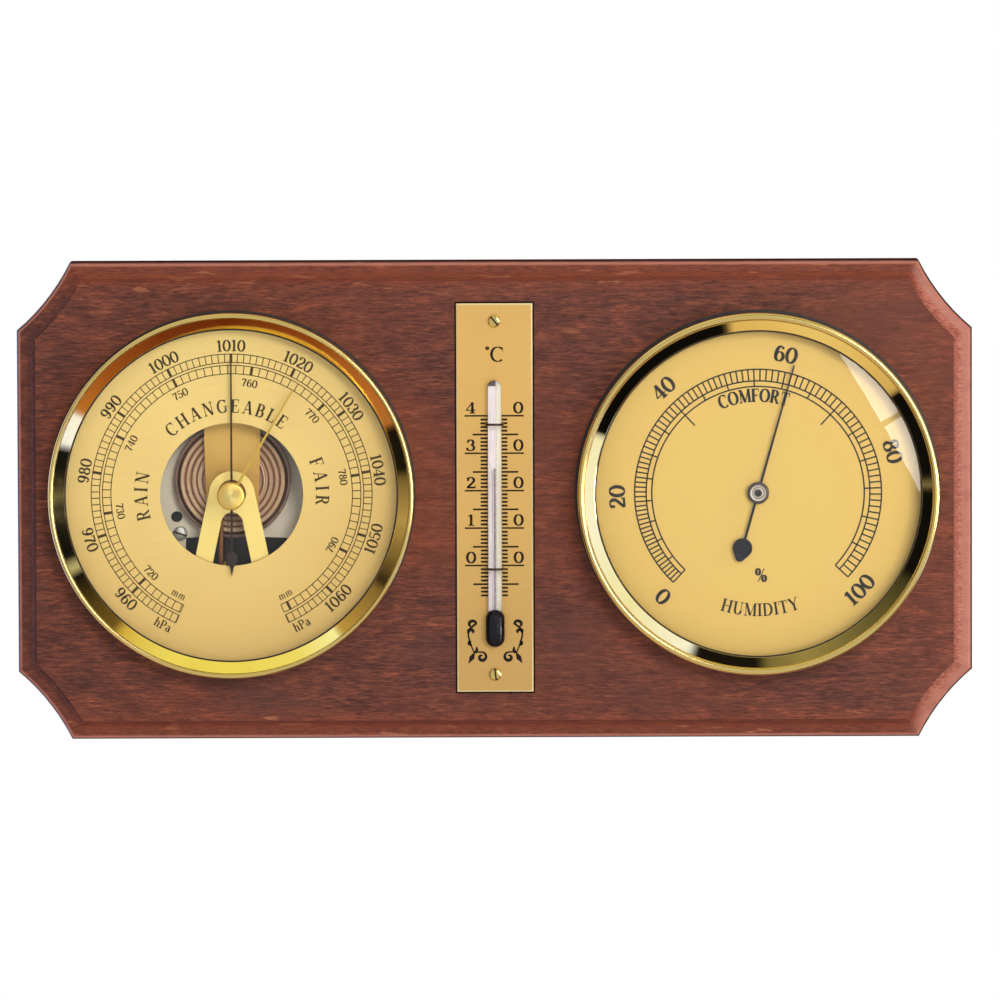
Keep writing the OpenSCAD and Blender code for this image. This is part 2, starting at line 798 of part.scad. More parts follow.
module transfer_arm() {
    color([0.45, 0.32, 0.22]) at_baro() difference() {
        union() {
            block(link_x - arm_w / 2, link_x + arm_w / 2, link_y - link_w / 2, arm_top_y,
                leaf_top, leaf_top + arm_t);
            block(link_x - link_t / 2, link_x + link_t / 2, link_y - link_w / 2, link_y + link_w / 2,
                rocker_z - link_w / 2, leaf_top);
        }
        translate([link_x, link_y, rocker_z]) rotate([0, 90, 0]) {
            cylinder(r = link_eye_r, h = 2 * arm_w, center = true);
        }
    }
}

module rocker_brackets() {
    low_y = rocker_y - bracket_w / 2;
    high_y = rocker_y + bracket_w / 2;
    inner_x = bracket_x - bracket_t / 2;
    outer_x = bracket_x + bracket_t / 2;
    color(silver) at_baro() difference() {
        for (side = [0, 1]) mirror([side, 0, 0]) {
            block(inner_x, outer_x, low_y, high_y, base_plate_top, rocker_z + bracket_w / 2);
            block(inner_x, outer_x + bracket_foot_l, low_y, high_y,
                base_plate_top, base_plate_top + bracket_foot_t);
        }
        translate([0, rocker_y, rocker_z]) rotate([0, 90, 0]) {
            cylinder(r = rocker_r + shaft_play, h = 4 * bracket_x, center = true);
        }
    }
}

module rocking_shaft() {
    color(polished_brass) at_baro() {
        translate([0, rocker_y, rocker_z]) rotate([0, 90, 0]) {
            cylinder(r = rocker_r, h = 2 * rocker_half_l, center = true);
        }
        // crank with its pin
        block(crank_x - crank_t / 2, crank_x + crank_t / 2, rocker_y, link_y + crank_half_w,
            rocker_z - crank_half_w, rocker_z + crank_half_w);
        translate([link_x - link_t / 2 - link_pin_over, link_y, rocker_z]) rotate([0, 90, 0]) {
            cylinder(r = link_pin_r, h = crank_x - link_x + link_t / 2 + link_pin_over);
        }
        // chain arm
        block(chain_x - chain_arm_t / 2, chain_x + chain_arm_t / 2,
            rocker_y - chain_arm_half_w, rocker_y + chain_arm_half_w, rocker_z, chain_z + chain_arm_half_w);
        block(balance_x, balance_x + balance_l, rocker_y - balance_down, rocker_y + balance_up,
            rocker_z - balance_t, rocker_z);
    }
}

// Fine chain from the rocking shaft's arm to the drum, its links turned alternately
module chain() {
    chain_start = rocker_y + chain_arm_half_w;
    link_l = -chain_start / chain_links;
    color(steel) at_baro() for (i = [0:chain_links - 1]) {
        w = i % 2 == 0 ? chain_wide : chain_thin;
        h = i % 2 == 0 ? chain_thin : chain_wide;
        y0 = chain_start + i * link_l;
        y1 = y0 + link_l + (i == chain_links - 1 ? 0 : chain_lap);
        block(chain_x - shaft_play - w, chain_x - shaft_play, y0, y1, chain_z - h / 2, chain_z + h / 2);
    }
}

module pointer_arbor() {
    color(steel) at_baro() {
        translate([0, 0, cock_z - arbor_foot]) cylinder(r = arbor_r, h = pointer_z - cock_z + arbor_foot);
        translate([0, 0, drum_z]) cylinder(r = drum_r, h = drum_h);
    }
}

module hairspring() {
    color(steel) at_baro() translate([0, 0, hairspring_z]) {
        spiral_strip(hairspring_turns, hairspring_in_r, hairspring_out_r, hairspring_t, hairspring_h);
        translate([hairspring_out_r, -hairspring_stud_w / 2, 0]) {
            cube([hairspring_stud_t, hairspring_stud_w, bearing_z - hairspring_z]);
        }
    }
}

// Barometer's movement: bridge that carries the pointer's arbor

module lower_cock() {
    color(polished_brass) at_baro() difference() {
        union() {
            block(-cock_half_l, cock_half_l, -cock_w / 2, cock_w / 2, cock_z, cock_z + cock_t);
            at_each([[-cock_post_x, 0], [cock_post_x, 0]]) translate([0, 0, cock_z]) {
                cylinder(r = cock_post_r, h = bearing_z - cock_z);
            }
        }
        translate([0, 0, cock_z - past]) cylinder(r = arbor_r + shaft_play, h = cock_t + 2 * past);
    }
}

module arbor_bearing() {
    color(bronze) at_baro() translate([0, 0, bearing_z]) ring(bearing_r, arbor_r + shaft_play, bearing_t);
}

// Tangent points of the legs' outer edges on the rounded top of the bridge
leg_a = atan(leg_slope);
leg_top = [bridge_apex_r * cos(leg_a), bridge_apex_r * sin(leg_a)];
leg_foot = [leg_top[0] + (leg_top[1] - bridge_foot_y) * leg_slope, bridge_foot_y];
arch_foot_x = leg_foot[0] - bridge_leg_w;

module bridge() {
    color([0.93, 0.82, 0.48]) at_baro() translate([0, 0, bridge_z]) difference() {
        union() {
            cylinder(r = bridge_apex_r, h = bridge_t);
            linear_extrude(bridge_t) polygon([
                [-leg_top[0], leg_top[1]], [-leg_foot[0], leg_foot[1]], [leg_foot[0], leg_foot[1]], leg_top
            ]);
            at_each([[-bridge_foot_x, bridge_foot_y], [bridge_foot_x, bridge_foot_y]]) {
                cylinder(r = bridge_foot_r, h = bridge_t);
            }
        }
        translate([0, 0, -past]) cylinder(r = bridge_hole_r, h = bridge_t + 2 * past);
        translate([0, arch_y, -past]) cylinder(r = arch_r, h = bridge_t + 2 * past);
        translate([0, 0, -past]) linear_extrude(bridge_t + 2 * past) polygon([
            [-arch_r, arch_y], [-arch_foot_x, bridge_foot_y - 2 * bridge_foot_r],
            [arch_foot_x, bridge_foot_y - 2 * bridge_foot_r], [arch_r, arch_y]
        ]);
        at_each([[-bridge_foot_x, bridge_foot_y], [bridge_foot_x, bridge_foot_y]]) {
            translate([0, 0, -past]) cylinder(r = screw_shank_r + screw_play, h = bridge_t + 2 * past);
        }
    }
}

module bridge_pillars() {
    color(silver) at_baro() at_each([[-bridge_foot_x, bridge_foot_y], [bridge_foot_x, bridge_foot_y]]) {
        difference() {
            translate([0, 0, base_plate_top]) cylinder(r = pillar_r, h = bridge_z - base_plate_top);
            translate([0, 0, bridge_z - bridge_screw_grip]) {
                cylinder(r = screw_shank_r + screw_play, h = bridge_screw_grip + past);
            }
        }
    }
}

module bridge_screws() {
    feet = [[-bridge_foot_x, bridge_foot_y], [bridge_foot_x, bridge_foot_y]];
    color(polished_brass) at_baro() at_each(feet) {
        translate([0, 0, bridge_top]) {
            pan_screw(bridge_screw_head_r, bridge_screw_head_h, screw_shank_r, bridge_screw_grip);
        }
    }
}

module zero_screw() {
    head_z = case_recess;
    color(polished_brass) at_baro() translate([0, clamp_y, 0]) difference() {
        union() {
            translate([0, 0, head_z]) cylinder(r = zero_head_r, h = zero_head_h);
            shank_l = base_plate_top + zero_screw_grip - head_z;
            translate([0, 0, head_z]) cylinder(r = zero_screw_r, h = shank_l);
        }
        translate([-zero_head_r - past, -screw_slot_w / 2, head_z - past]) {
            cube([2 * (zero_head_r + past), screw_slot_w, past + screw_slot_h]);
        }
    }
}

// Pointers and the set hand

// Needle along +y with a round tail disc and a point below it
module needle(tip_l, disc_y, disc_r, tail_l, t) {
    linear_extrude(t) polygon([
        [-needle_tip_w / 2, tip_l], [needle_tip_w / 2, tip_l], [needle_root_w / 2, 0],
        [needle_root_w / 2, -disc_y], [-needle_root_w / 2, -disc_y], [-needle_root_w / 2, 0]
    ]);
    translate([0, -disc_y, 0]) cylinder(r = disc_r, h = t);
    // the spike starts on the disc's lower shoulders and is hollow-sided
    shoulder = [disc_r * cos(37), -disc_y - disc_r * sin(37)];
    waist = [disc_r * 0.3, -disc_y - disc_r * 1.35];
    linear_extrude(t) polygon([
        [-shoulder[0], shoulder[1]], shoulder, waist, [0, -tail_l], [-waist[0], waist[1]]
    ]);
}

module baro_pointer() {
    color(black) at_baro() translate([0, 0, pointer_z]) {
        needle(pointer_l, pointer_tail_l - baro_tail_spike_l, baro_tail_disc_r, pointer_tail_l, pointer_t);
        cylinder(r = pointer_boss_r, h = pointer_boss_h);
    }
}

module set_hand() {
    color([0.62, 0.48, 0.18]) at_baro() rotate([0, 0, -set_hand_a]) translate([0, 0, hand_z]) difference() {
        union() {
            linear_extrude(hand_t) polygon([
                [-hand_tip_w / 2, set_hand_l], [hand_tip_w / 2, set_hand_l],
                [hand_root_w / 2, 0], [-hand_root_w / 2, 0]
            ]);
            cylinder(r = hand_hub_r, h = hand_t);
        }
        translate([0, 0, -past]) cylinder(r = knob_shaft_r, h = hand_t + 2 * past);
    }
}

module set_knob() {
    head_z = knob_z + knob_neck_h;
    top_z = head_z + knob_h;
    outline = [
        [0, hand_z], [knob_shaft_r, hand_z], [knob_shaft_r, knob_z], [knob_foot_r, knob_z],
        [knob_foot_r, knob_z + knob_foot_h], [knob_neck_r, knob_z + knob_foot_h + knob_chamfer],
        [knob_neck_r, head_z - knob_chamfer],
        [knob_r - knob_chamfer, head_z], [knob_r, head_z + knob_chamfer],
        [knob_r, top_z - knob_crown - knob_chamfer], [knob_r - knob_chamfer, top_z - knob_crown], [0, top_z]
    ];
    color(polished_brass) at_baro() rotate_extrude() polygon(outline);
}

module knob_bush() {
    color(polished_brass) at_baro() difference() {
        union() {
            translate([0, 0, glass_z]) cylinder(r = bush_r, h = glass_t);
            translate([0, 0, glass_top]) cylinder(r = bush_flange_r, h = bush_flange_t);
            translate([0, 0, glass_z - bush_flange_t]) cylinder(r = bush_flange_r, h = bush_flange_t);
        }
        translate([0, 0, glass_z - past]) cylinder(r = knob_shaft_r + shaft_play, h = glass_t + 2 * past);
    }
}

// Thermometer

module thermo_plate() {
    slot_top = bulb_top_y + bulb_slot_play;
    slot_bottom = bulb_bottom_y - bulb_slot_play;
    color(gold_dial) on_wall() difference() {
        plate_bottom = thermo_y - plate_h / 2;
        block(-plate_w / 2, plate_w / 2, plate_bottom, plate_bottom + plate_h, board_t, thermo_face);
        block(-bulb_slot_w / 2, bulb_slot_w / 2, slot_bottom, slot_top, board_t - past, thermo_face + past);
        at_each([[0, thermo_y + thermo_screw_y], [0, thermo_y - thermo_screw_y]]) {
            translate([0, 0, board_t - past]) {
                cylinder(r = screw_shank_r + screw_play, h = plate_t + 2 * past);
            }
        }
        for (y = clip_ys, sx = [-1, 1]) translate([sx * clip_r, y, board_t - past]) {
            cylinder(r = clip_wire_r + screw_play, h = plate_t + 2 * past);
        }
    }
}

module thermo_screws() {
    places = [[0, thermo_y + thermo_screw_y], [0, thermo_y - thermo_screw_y]];
    color(polished_brass) on_wall() at_each(places) {
        translate([0, 0, thermo_face]) rotate([0, 0, 60]) {
            pan_screw(thermo_head_r, thermo_head_h, screw_shank_r, plate_t + thermo_screw_l);
        }
    }
}

// Lays a turned shape along the board's height, at the tube's level
module along_tube(y) {
    translate([0, y, tube_z]) rotate([-90, 0, 0]) children();
}

module bulb_shape(r, top_y, bottom_y) {
    along_tube(bottom_y + r) cylinder(r = r, h = top_y - bottom_y - 2 * r);
    translate([0, bottom_y + r, tube_z]) sphere(r = r);
    translate([0, top_y - r, tube_z]) sphere(r = r);
}

module thermo_tube() {
    color(clear) on_wall() difference() {
        union() {
            along_tube(bulb_top_y - bulb_neck_l) {
                cylinder(r = tube_r, h = tube_top_y - tube_r - bulb_top_y + bulb_neck_l);
            }
            translate([0, tube_top_y - tube_r, tube_z]) sphere(r = tube_r);
            bulb_shape(bulb_r, bulb_top_y, bulb_bottom_y);
        }
        bulb_shape(bulb_r - bulb_wall, bulb_top_y - bulb_wall, bulb_bottom_y + bulb_wall);
        along_tube(bulb_top_y - bulb_wall - bulb_neck_l) {
            cylinder(r = bore_r, h = bore_top_y - bulb_top_y + bulb_wall + bulb_neck_l);
        }
        backing_shape();
    }
}

module backing_shape() {
    z1 = tube_z - bore_r - backing_drop;
    block(-backing_w / 2, backing_w / 2, bulb_top_y + backing_inset, tube_top_y - tube_r, z1 - backing_t, z1);
}

module tube_backing() {
    color(white) on_wall() backing_shape();
}

module bulb_liquid() {
    color(liquid_blue) on_wall() {
        bulb_shape(bulb_r - bulb_wall, bulb_top_y - bulb_wall, bulb_bottom_y + bulb_wall);
    }
}

module liquid_column() {
    color(liquid_blue) on_wall() along_tube(bulb_top_y) cylinder(r = column_r, h = column_top_y - bulb_top_y);
}

// Wire staples that hold the tube on its plate
module tube_clips() {
    foot_z = board_t - clip_leg_l;
    color(polished_brass) on_wall() for (y = clip_ys) translate([0, y, 0]) {
        translate([0, 0, tube_z]) rotate([90, 0, 0]) rotate_extrude(angle = 180) {
            translate([clip_r, 0]) circle(r = clip_wire_r, $fn = 24);
        }
        for (s = [-1, 1]) translate([s * clip_r, 0, foot_z]) cylinder(r = clip_wire_r, h = tube_z - foot_z);
    }
}

// Hygrometer

module hygro_case() {
    color(black) at_hygro() difference() {
        case_shell(hygro_flange_r);
        translate([0, 0, case_recess - past]) cylinder(r = adjuster_r + shaft_play, h = case_wall + 2 * past);
        at_each([[-hygro_post_x, 0], [hygro_post_x, 0]]) {
            cylinder(r = screw_shank_r + screw_play, h = floor_z + past);
        }
    }
}

module hygro_case_screws() {
    color(steel) at_hygro() case_screws();
}

module hygro_bridge() {
    color(polished_brass) at_hygro() difference() {
        union() {
            block(-hygro_post_x - hygro_bridge_w / 2, hygro_post_x + hygro_bridge_w / 2,
                -hygro_bridge_w / 2, hygro_bridge_w / 2, hygro_bridge_z, hygro_bridge_z + hygro_bridge_t);
            at_each([[-hygro_post_x, 0], [hygro_post_x, 0]]) {
                translate([0, 0, floor_z]) cylinder(r = hygro_post_r, h = hygro_bridge_z - floor_z);
            }
        }
        translate([0, 0, hygro_bridge_z - past]) {
            cylinder(r = arbor_r + shaft_play, h = hygro_bridge_t + 2 * past);
        }
        at_each([[-hygro_post_x, 0], [hygro_post_x, 0]]) {
            translate([0, 0, floor_z - past]) {
                cylinder(r = screw_shank_r + screw_play, h = hygro_screw_grip + past);
            }
        }
    }
}

module hygro_bridge_screws() {
    color(steel) at_hygro() at_each([[-hygro_post_x, 0], [hygro_post_x, 0]]) {
        translate([0, 0, case_recess]) mirror([0, 0, 1]) {
            pan_screw(hygro_screw_head_r, hygro_screw_head_h, screw_shank_r, hygro_screw_grip);
        }
    }
}

// Slotted boss in the case's back, with the arm that holds the coil's outer end
module coil_adjuster() {
    flange_z = floor_z + stack_gap;
    color(polished_brass) at_hygro() rotate([0, 0, 90]) difference() {
        union() {
            translate([0, 0, case_recess]) cylinder(r = adjuster_r, h = flange_z - case_recess);
            translate([0, 0, flange_z]) cylinder(r = adjuster_flange_r, h = adjuster_flange_t);
            block(0, coil_r + adjuster_post_t, -adjuster_arm_w / 2, adjuster_arm_w / 2,
                flange_z, flange_z + adjuster_flange_t);
            block(coil_r + coil_t / 2, coil_r + adjuster_post_t, -adjuster_arm_w / 2, adjuster_arm_w / 2,
                flange_z, coil_z + coil_strip_w);
        }
        translate([0, 0, flange_z - arbor_pit]) {
            cylinder(r = arbor_r + shaft_play, h = adjuster_flange_t + past);
        }
        translate([-adjuster_r - past, -adjuster_slot_w / 2, case_recess - past]) {
            cube([2 * (adjuster_r + past), adjuster_slot_w, past + adjuster_slot_h]);
        }
    }
}

module humidity_coil() {
    color([0.70, 0.62, 0.45]) at_hygro() rotate([0, 0, 90]) translate([0, 0, coil_z]) {
        spiral_strip(coil_turns, coil_in_r, coil_r, coil_t, coil_strip_w);
    }
}

module coil_arbor() {
    foot_z = floor_z + stack_gap;
    color(steel) at_hygro() {
        translate([0, 0, foot_z]) cylinder(r = arbor_r, h = pointer_z - foot_z);
        translate([0, 0, coil_z]) cylinder(r = collet_r, h = coil_strip_w);
    }
}

module hygro_dial() {
    color(gold_dial) at_hygro() translate([0, 0, dial_z]) ring(hygro_dial_r, hygro_dial_hole_r, dial_t);
}

module hygro_spacer_ring() {
    color(black) at_hygro() translate([0, 0, dial_top]) {
        ring(hygro_dial_r, hygro_dial_r - spacer_w, dial_to_glass);
    }
}

// Radius of the sphere that the domed glass is cut from
dome_r = (hygro_dial_r * hygro_dial_r + dome_h * dome_h) / (2 * dome_h);

module hygro_glass() {
    color(clear) at_hygro() intersection() {
        translate([0, 0, glass_z]) cylinder(r = hygro_dial_r, h = glass_t + dome_h + past);
        translate([0, 0, glass_z + dome_h - dome_r]) difference() {
            sphere(r = dome_r + glass_t, $fn = 240);
            sphere(r = dome_r, $fn = 240);
        }
    }
}

module hygro_bezel() {
    lip_r = hygro_dial_r - hygro_lip_w;
    lip_z = glass_z + dome_h - dome_r + sqrt(pow(dome_r + glass_t, 2) - lip_r * lip_r) + lip_gap;
    color(polished_brass) at_hygro() bezel_ring(hygro_bezel_r, hygro_bead_r, lip_r, lip_z);
}

module hygro_pointer() {
    color(black) at_hygro() rotate([0, 0, -humidity_a]) translate([0, 0, pointer_z]) {
        disc_y = hygro_tail_l - hygro_tail_spike_l;
        needle(hygro_pointer_l, disc_y, hygro_tail_disc_r, hygro_tail_l, pointer_t);
    }
}

module hygro_eyelet() {
    top = pointer_z + pointer_t;
    groove_r = eyelet_r - 2 * eyelet_rim_w;
    color(steel) at_hygro() translate([0, 0, top]) rotate_extrude() polygon([
        [0, 0], [eyelet_r, 0], [eyelet_r, eyelet_floor], [eyelet_r - eyelet_rim_w, eyelet_rim_h],
        [groove_r, eyelet_floor], [eyelet_nut_r + eyelet_rim_w / 2, eyelet_floor], [eyelet_nut_r, eyelet_h],
        [0, eyelet_h]
    ]);
}

board();
hanger_plate();
hanger_screws();
baro_case();
baro_case_screws();
baro_base_plate();
base_plate_screws();
aneroid_capsule();
capsule_diaphragm();
capsule_stud();
spring_pillar();
leaf_spring();
leaf_clamp();
transfer_arm();
rocker_brackets();
rocking_shaft();
chain();
pointer_arbor();
hairspring();
lower_cock();
arbor_bearing();
bridge();
bridge_pillars();
bridge_screws();
zero_screw();
baro_dial();
baro_spacer_ring();
baro_glass();
baro_bezel();
baro_pointer();
set_hand();
set_knob();
knob_bush();
thermo_plate();
thermo_screws();
thermo_tube();
tube_backing();
bulb_liquid();
liquid_column();
tube_clips();
hygro_case();
hygro_case_screws();
hygro_bridge();
hygro_bridge_screws();
coil_adjuster();
humidity_coil();
coil_arbor();
hygro_dial();
hygro_spacer_ring();
hygro_glass();
hygro_bezel();
hygro_pointer();
hygro_eyelet();
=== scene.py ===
"""Wall weather station: a moulded board with a barometer, a strip thermometer and a hygrometer."""

import math

import bpy
from mathutils import Matrix, Quaternion, Vector
from mathutils.geometry import tessellate_polygon


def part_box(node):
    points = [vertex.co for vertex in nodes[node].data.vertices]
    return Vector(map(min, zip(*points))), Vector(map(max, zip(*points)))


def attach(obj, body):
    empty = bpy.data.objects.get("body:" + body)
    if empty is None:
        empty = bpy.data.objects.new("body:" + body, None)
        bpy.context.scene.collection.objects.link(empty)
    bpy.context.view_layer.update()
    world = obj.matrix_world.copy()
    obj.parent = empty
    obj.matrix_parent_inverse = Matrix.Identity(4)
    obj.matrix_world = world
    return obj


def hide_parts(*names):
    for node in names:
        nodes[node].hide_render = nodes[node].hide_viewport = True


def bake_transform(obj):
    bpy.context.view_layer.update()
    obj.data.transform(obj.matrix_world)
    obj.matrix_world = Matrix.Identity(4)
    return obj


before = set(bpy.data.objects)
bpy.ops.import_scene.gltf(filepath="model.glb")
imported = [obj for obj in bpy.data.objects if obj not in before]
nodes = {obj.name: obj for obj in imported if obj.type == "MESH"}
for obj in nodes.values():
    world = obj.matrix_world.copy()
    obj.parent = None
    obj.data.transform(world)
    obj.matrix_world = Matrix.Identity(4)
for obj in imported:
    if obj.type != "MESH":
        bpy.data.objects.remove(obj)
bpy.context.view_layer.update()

# Measures in mm, in the board's drawing frame: x right, y up, z out from the wall
MM = 0.001
BOARD_TOP = 18.0
BARO = (-66.0, 2.0)
HYGRO = (66.0, 2.0)
DIAL_TOP = 19.4
THERMO_FACE = 18.8
THERMO_Y = 0.85
PRINT = 0.03


# Places
def place(x, y, z):
    """A point of the drawing frame as a point of the row's frame, in metres."""
    return Vector((x * MM, -z * MM, y * MM))


def on_clock(centre, radius, angle):
    """A point on a dial at a clock angle in degrees, from the top and to the right."""
    a = math.radians(angle)
    return (centre[0] + radius * math.sin(a), centre[1] + radius * math.cos(a))


def arc(cx, cy, rx, ry, a0, a1, steps=16):
    """Points on an ellipse. Angles are in degrees, anticlockwise from the right."""
    out = []
    for i in range(steps + 1):
        a = math.radians(a0 + (a1 - a0) * i / steps)
        out.append((cx + rx * math.cos(a), cy + ry * math.sin(a)))
    return out


def box_loop(x0, x1, y0, y1, r=0.0):
    """A rectangle's corners, or points round it where r rounds them."""
    if not r:
        return [(x0, y0), (x1, y0), (x1, y1), (x0, y1)]
    corners = ((x1 - r, y0 + r, -90), (x1 - r, y1 - r, 0), (x0 + r, y1 - r, 90), (x0 + r, y0 + r, 180))
    return [point for cx, cy, a in corners for point in arc(cx, cy, r, r, a, a + 90, 5)]


def rounded(profile, radius, steps=3):
    """Rounds the corners of a closed profile, by at most half of each side."""
    out = []
    count = len(profile)
    for i in range(count):
        before, here, after = (Vector(profile[(i + k) % count]) for k in (-1, 0, 1))
        back, on = before - here, after - here
        if min(back.length, on.length) < 1e-6 or math.degrees(math.pi - back.angle(on)) < 20:
            out.append(tuple(here))
            continue
        cut = min(radius, back.length / 2, on.length / 2)
        a = here + back.normalized() * cut
        b = here + on.normalized() * cut
        for k in range(steps + 1):
            t = k / steps
            out.append(tuple((1 - t) ** 2 * a + 2 * t * (1 - t) * here + t * t * b))
    return out


def neighbours(path, i, closed):
    """The points before and after one of a path's. At an open end, the end stands in for what is missing."""
    if closed:
        return path[i - 1], path[(i + 1) % len(path)]
    return path[max(i - 1, 0)], path[min(i + 1, len(path) - 1)]


# Mesh helpers
def row(start, size):
    """The numbers of a closed loop of points, with its first again at the end."""
    return [start + i % size for i in range(size + 1)]


def skin(rows):
    """Faces between each row of point numbers and the next. A number that repeats makes triangles."""
    faces = []
    for low, high in zip(rows, rows[1:]):
        for i in range(len(low) - 1):
            ring = [low[i], high[i], high[i + 1], low[i + 1]]
            face = [v for n, v in enumerate(ring) if v != ring[n - 1]]
            if len(face) > 2:
                faces.append(face)
    return faces


def make_piece(name, points, faces, material, slot, body="station", sharp=None):
    """A mesh object from points in the drawing frame. sharp is the angle in degrees that stays an edge."""
    mesh = bpy.data.meshes.new(name)
    mesh.from_pydata([place(*p) for p in points], [], faces)
    mesh.validate()
    mesh.update()
    mesh.calc_loop_triangles()
    corners = [[mesh.vertices[i].co for i in face.vertices] for face in mesh.loop_triangles]
    if sum(a.dot(b.cross(c)) for a, b, c in corners) < 0:
        mesh.flip_normals()
    obj = bpy.data.objects.new(name, mesh)
    bpy.context.scene.collection.objects.link(obj)
    mesh.materials.append(material)
    if sharp is not None:
        mesh.shade_smooth()
        mesh.set_sharp_from_angle(angle=math.radians(sharp))
    if body:
        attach(obj, body)
    return obj


def finish_faces(obj, finish, test):
    """Gives the faces that pass a test a finish of their own."""
    obj.data.materials.append(finish)
    number = len(obj.data.materials) - 1
    for face in obj.data.polygons:
        if test(face):
            face.material_index = number


def from_axis(face, centre):
    """A face's distance in mm from an axis square to the board."""
    return math.hypot(face.center.x / MM - centre[0], face.center.z / MM - centre[1])


def lathe(name, profile, centre, material, slot, steps=256, **how):
    """Turns a closed profile of (radius, z) about an axis square to the board. Radius 0 is one point."""
    points, rows = [], []
    for radius, z in profile:
        count = steps if radius > 1e-6 else 1
        rows.append([len(points) + i % count for i in range(steps + 1)])
        points += [(*on_clock(centre, radius, 360 * i / steps), z) for i in range(count)]
    return make_piece(name, points, skin(rows + rows[:1]), material, slot, **how)


def slab(points, faces, loops, ends, spot, bevel=0.0):
    """Adds a plate with the outline loops[0] and the others as holes. spot turns (u, v, end) into a point.

    A bevel draws the outline in at the second end.
    """
    flat = []
    for number, loop in enumerate(loops):
        area = sum(loop[i - 1][0] * loop[i][1] - loop[i][0] * loop[i - 1][1] for i in range(len(loop)))
        flat.append(loop if (area > 0) == (number == 0) else loop[::-1])
    outline = flat[0]
    u_mid = sum(u for u, v in outline) / len(outline)
    v_mid = sum(v for u, v in outline) / len(outline)
    inset = [(u - math.copysign(bevel, u - u_mid), v - math.copysign(bevel, v - v_mid)) for u, v in outline]
    every = [point for loop in flat for point in loop]
    start, count = len(points), len(every)
    points += [spot(u, v, ends[0]) for u, v in every]
    points += [spot(u, v, ends[1]) for u, v in inset + every[len(outline):]]
    for a, b, c in tessellate_polygon([[Vector((u, v, 0)) for u, v in loop] for loop in flat]):
        (ax, ay), (bx, by), (cx, cy) = every[a], every[b], every[c]
        if (bx - ax) * (cy - ay) - (by - ay) * (cx - ax) < 0:
            b, c = c, b
        faces.append((start + a, start + b, start + c))
        faces.append((start + count + a, start + count + c, start + count + b))
    for loop in flat:
        rows = [row(start, len(loop)), row(start + count, len(loop))]
        if bevel and loop is outline:
            rows.insert(1, row(len(points), len(loop)))
            points += [spot(u, v, ends[1] - bevel) for u, v in loop]
        faces += skin(rows)
        start += len(loop)


def flat_plate(name, loops, z0, z1, material, slot, bevel=0.0):
    """A slab that lies flat on the board."""
    points, faces = [], []
    slab(points, faces, loops, (z0, z1), lambda u, v, end: (u, v, end), bevel)
    return make_piece(name, points, faces, material, slot)


# Print
class Ink:
    """Thin raised strokes of print on one face, gathered into one mesh. A dial's has its centre too."""

    def __init__(self, z, centre=None):
        self.z = z
        self.centre = centre
        self.points = []
        self.faces = []

    def ribbon(self, path, widths, closed=False):
        """A flat band along a path of points. widths is one number or one for each point."""
        if isinstance(widths, (int, float)):
            widths = [widths] * len(path)
        rows = []
        for i, (x, y) in enumerate(path):
            before, after = neighbours(path, i, closed)
            along = Vector((after[0] - before[0], after[1] - before[1])).normalized()
            side = Vector((-along.y, along.x)) * widths[i] / 2
            rows.append([len(self.points) + corner for corner in (0, 1, 3, 2, 0)])
            for s in (1, -1):
                for z in (self.z - PRINT / 3, self.z + PRINT):
                    self.points.append((x + s * side.x, y + s * side.y, z))
        if closed:
            rows.append(rows[0])
        else:
            self.faces += [rows[0][:4], rows[-1][3::-1]]
        self.faces += skin(rows)

    def ring(self, radius, width, a0, a1):
        """Part of a circle, between two clock angles."""
        steps = int((a1 - a0) / 1.5)
        path = [on_clock(self.centre, radius, a0 + (a1 - a0) * i / steps) for i in range(steps + 1)]
        self.ribbon(path, width)

    def tick(self, angle, r0, r1, width):
        """A radial line at one clock angle."""
        self.ribbon([on_clock(self.centre, r, angle) for r in (r0, r1)], width)

    def glyph(self, char, origin, along, up, height, weight):
        """One letter, whose lower left corner is at origin."""
        for path, width, closed in GLYPHS[char][1]:
            widths = []
            for i in range(len(path)):
                before, after = neighbours(path, i, closed)
                dx, dy = after[0] - before[0], after[1] - before[1]
                steep = abs(dy) / max(math.hypot(dx, dy), 1e-9)
                pen = HAIR + (STEM - HAIR) * steep**1.6 if width is None else width
                widths.append(pen * height * weight)
            drawn = [tuple(origin[k] + (u * along[k] + v * up[k]) * height for k in (0, 1)) for u, v in path]
            self.ribbon(drawn, widths, closed)

    def text_on_arc(self, text, radius, height, middle, flip=False, gap=0.0, weight=1.0, squeeze=1.0):
        """Letters along a circle through their middles. middle is the clock angle of the word's."""
        turn = -1 if flip else 1
        base = radius - turn * height / 2
        for char, at, wide in spread(text, height, gap, squeeze):
            angle = math.radians(middle) + turn * (at + wide / 2) / radius
            s, c = math.sin(angle), math.cos(angle)
            x = self.centre[0] + base * s - turn * c * wide / 2
            y = self.centre[1] + base * c + turn * s * wide / 2
            along, up = (turn * c * squeeze, -turn * s * squeeze), (turn * s, turn * c)
            self.glyph(char, (x, y), along, up, height, weight)

    def text_line(self, text, x, y, height, weight=1.0, squeeze=1.0):
        """Upright letters. x is the middle of the word and y its foot."""
        for char, at, _ in spread(text, height, 0.0, squeeze):
            self.glyph(char, (x + at, y), (squeeze, 0), (0, 1), height, weight)

    def build(self, name, material):
        """The strokes as one piece that rides on the station."""
        return make_piece(name, self.points, self.faces, material, "dial_print")


def spread(text, height, gap, squeeze):
    """Each letter of a word with its start and its width, where the word's middle is at 0."""
    widths = [GLYPHS[char][0] * squeeze * height for char in text]
    at = -(sum(widths) + gap * height * (len(text) - 1)) / 2
    for char, wide in zip(text, widths):
        yield char, at, wide
        at += wide + gap * height


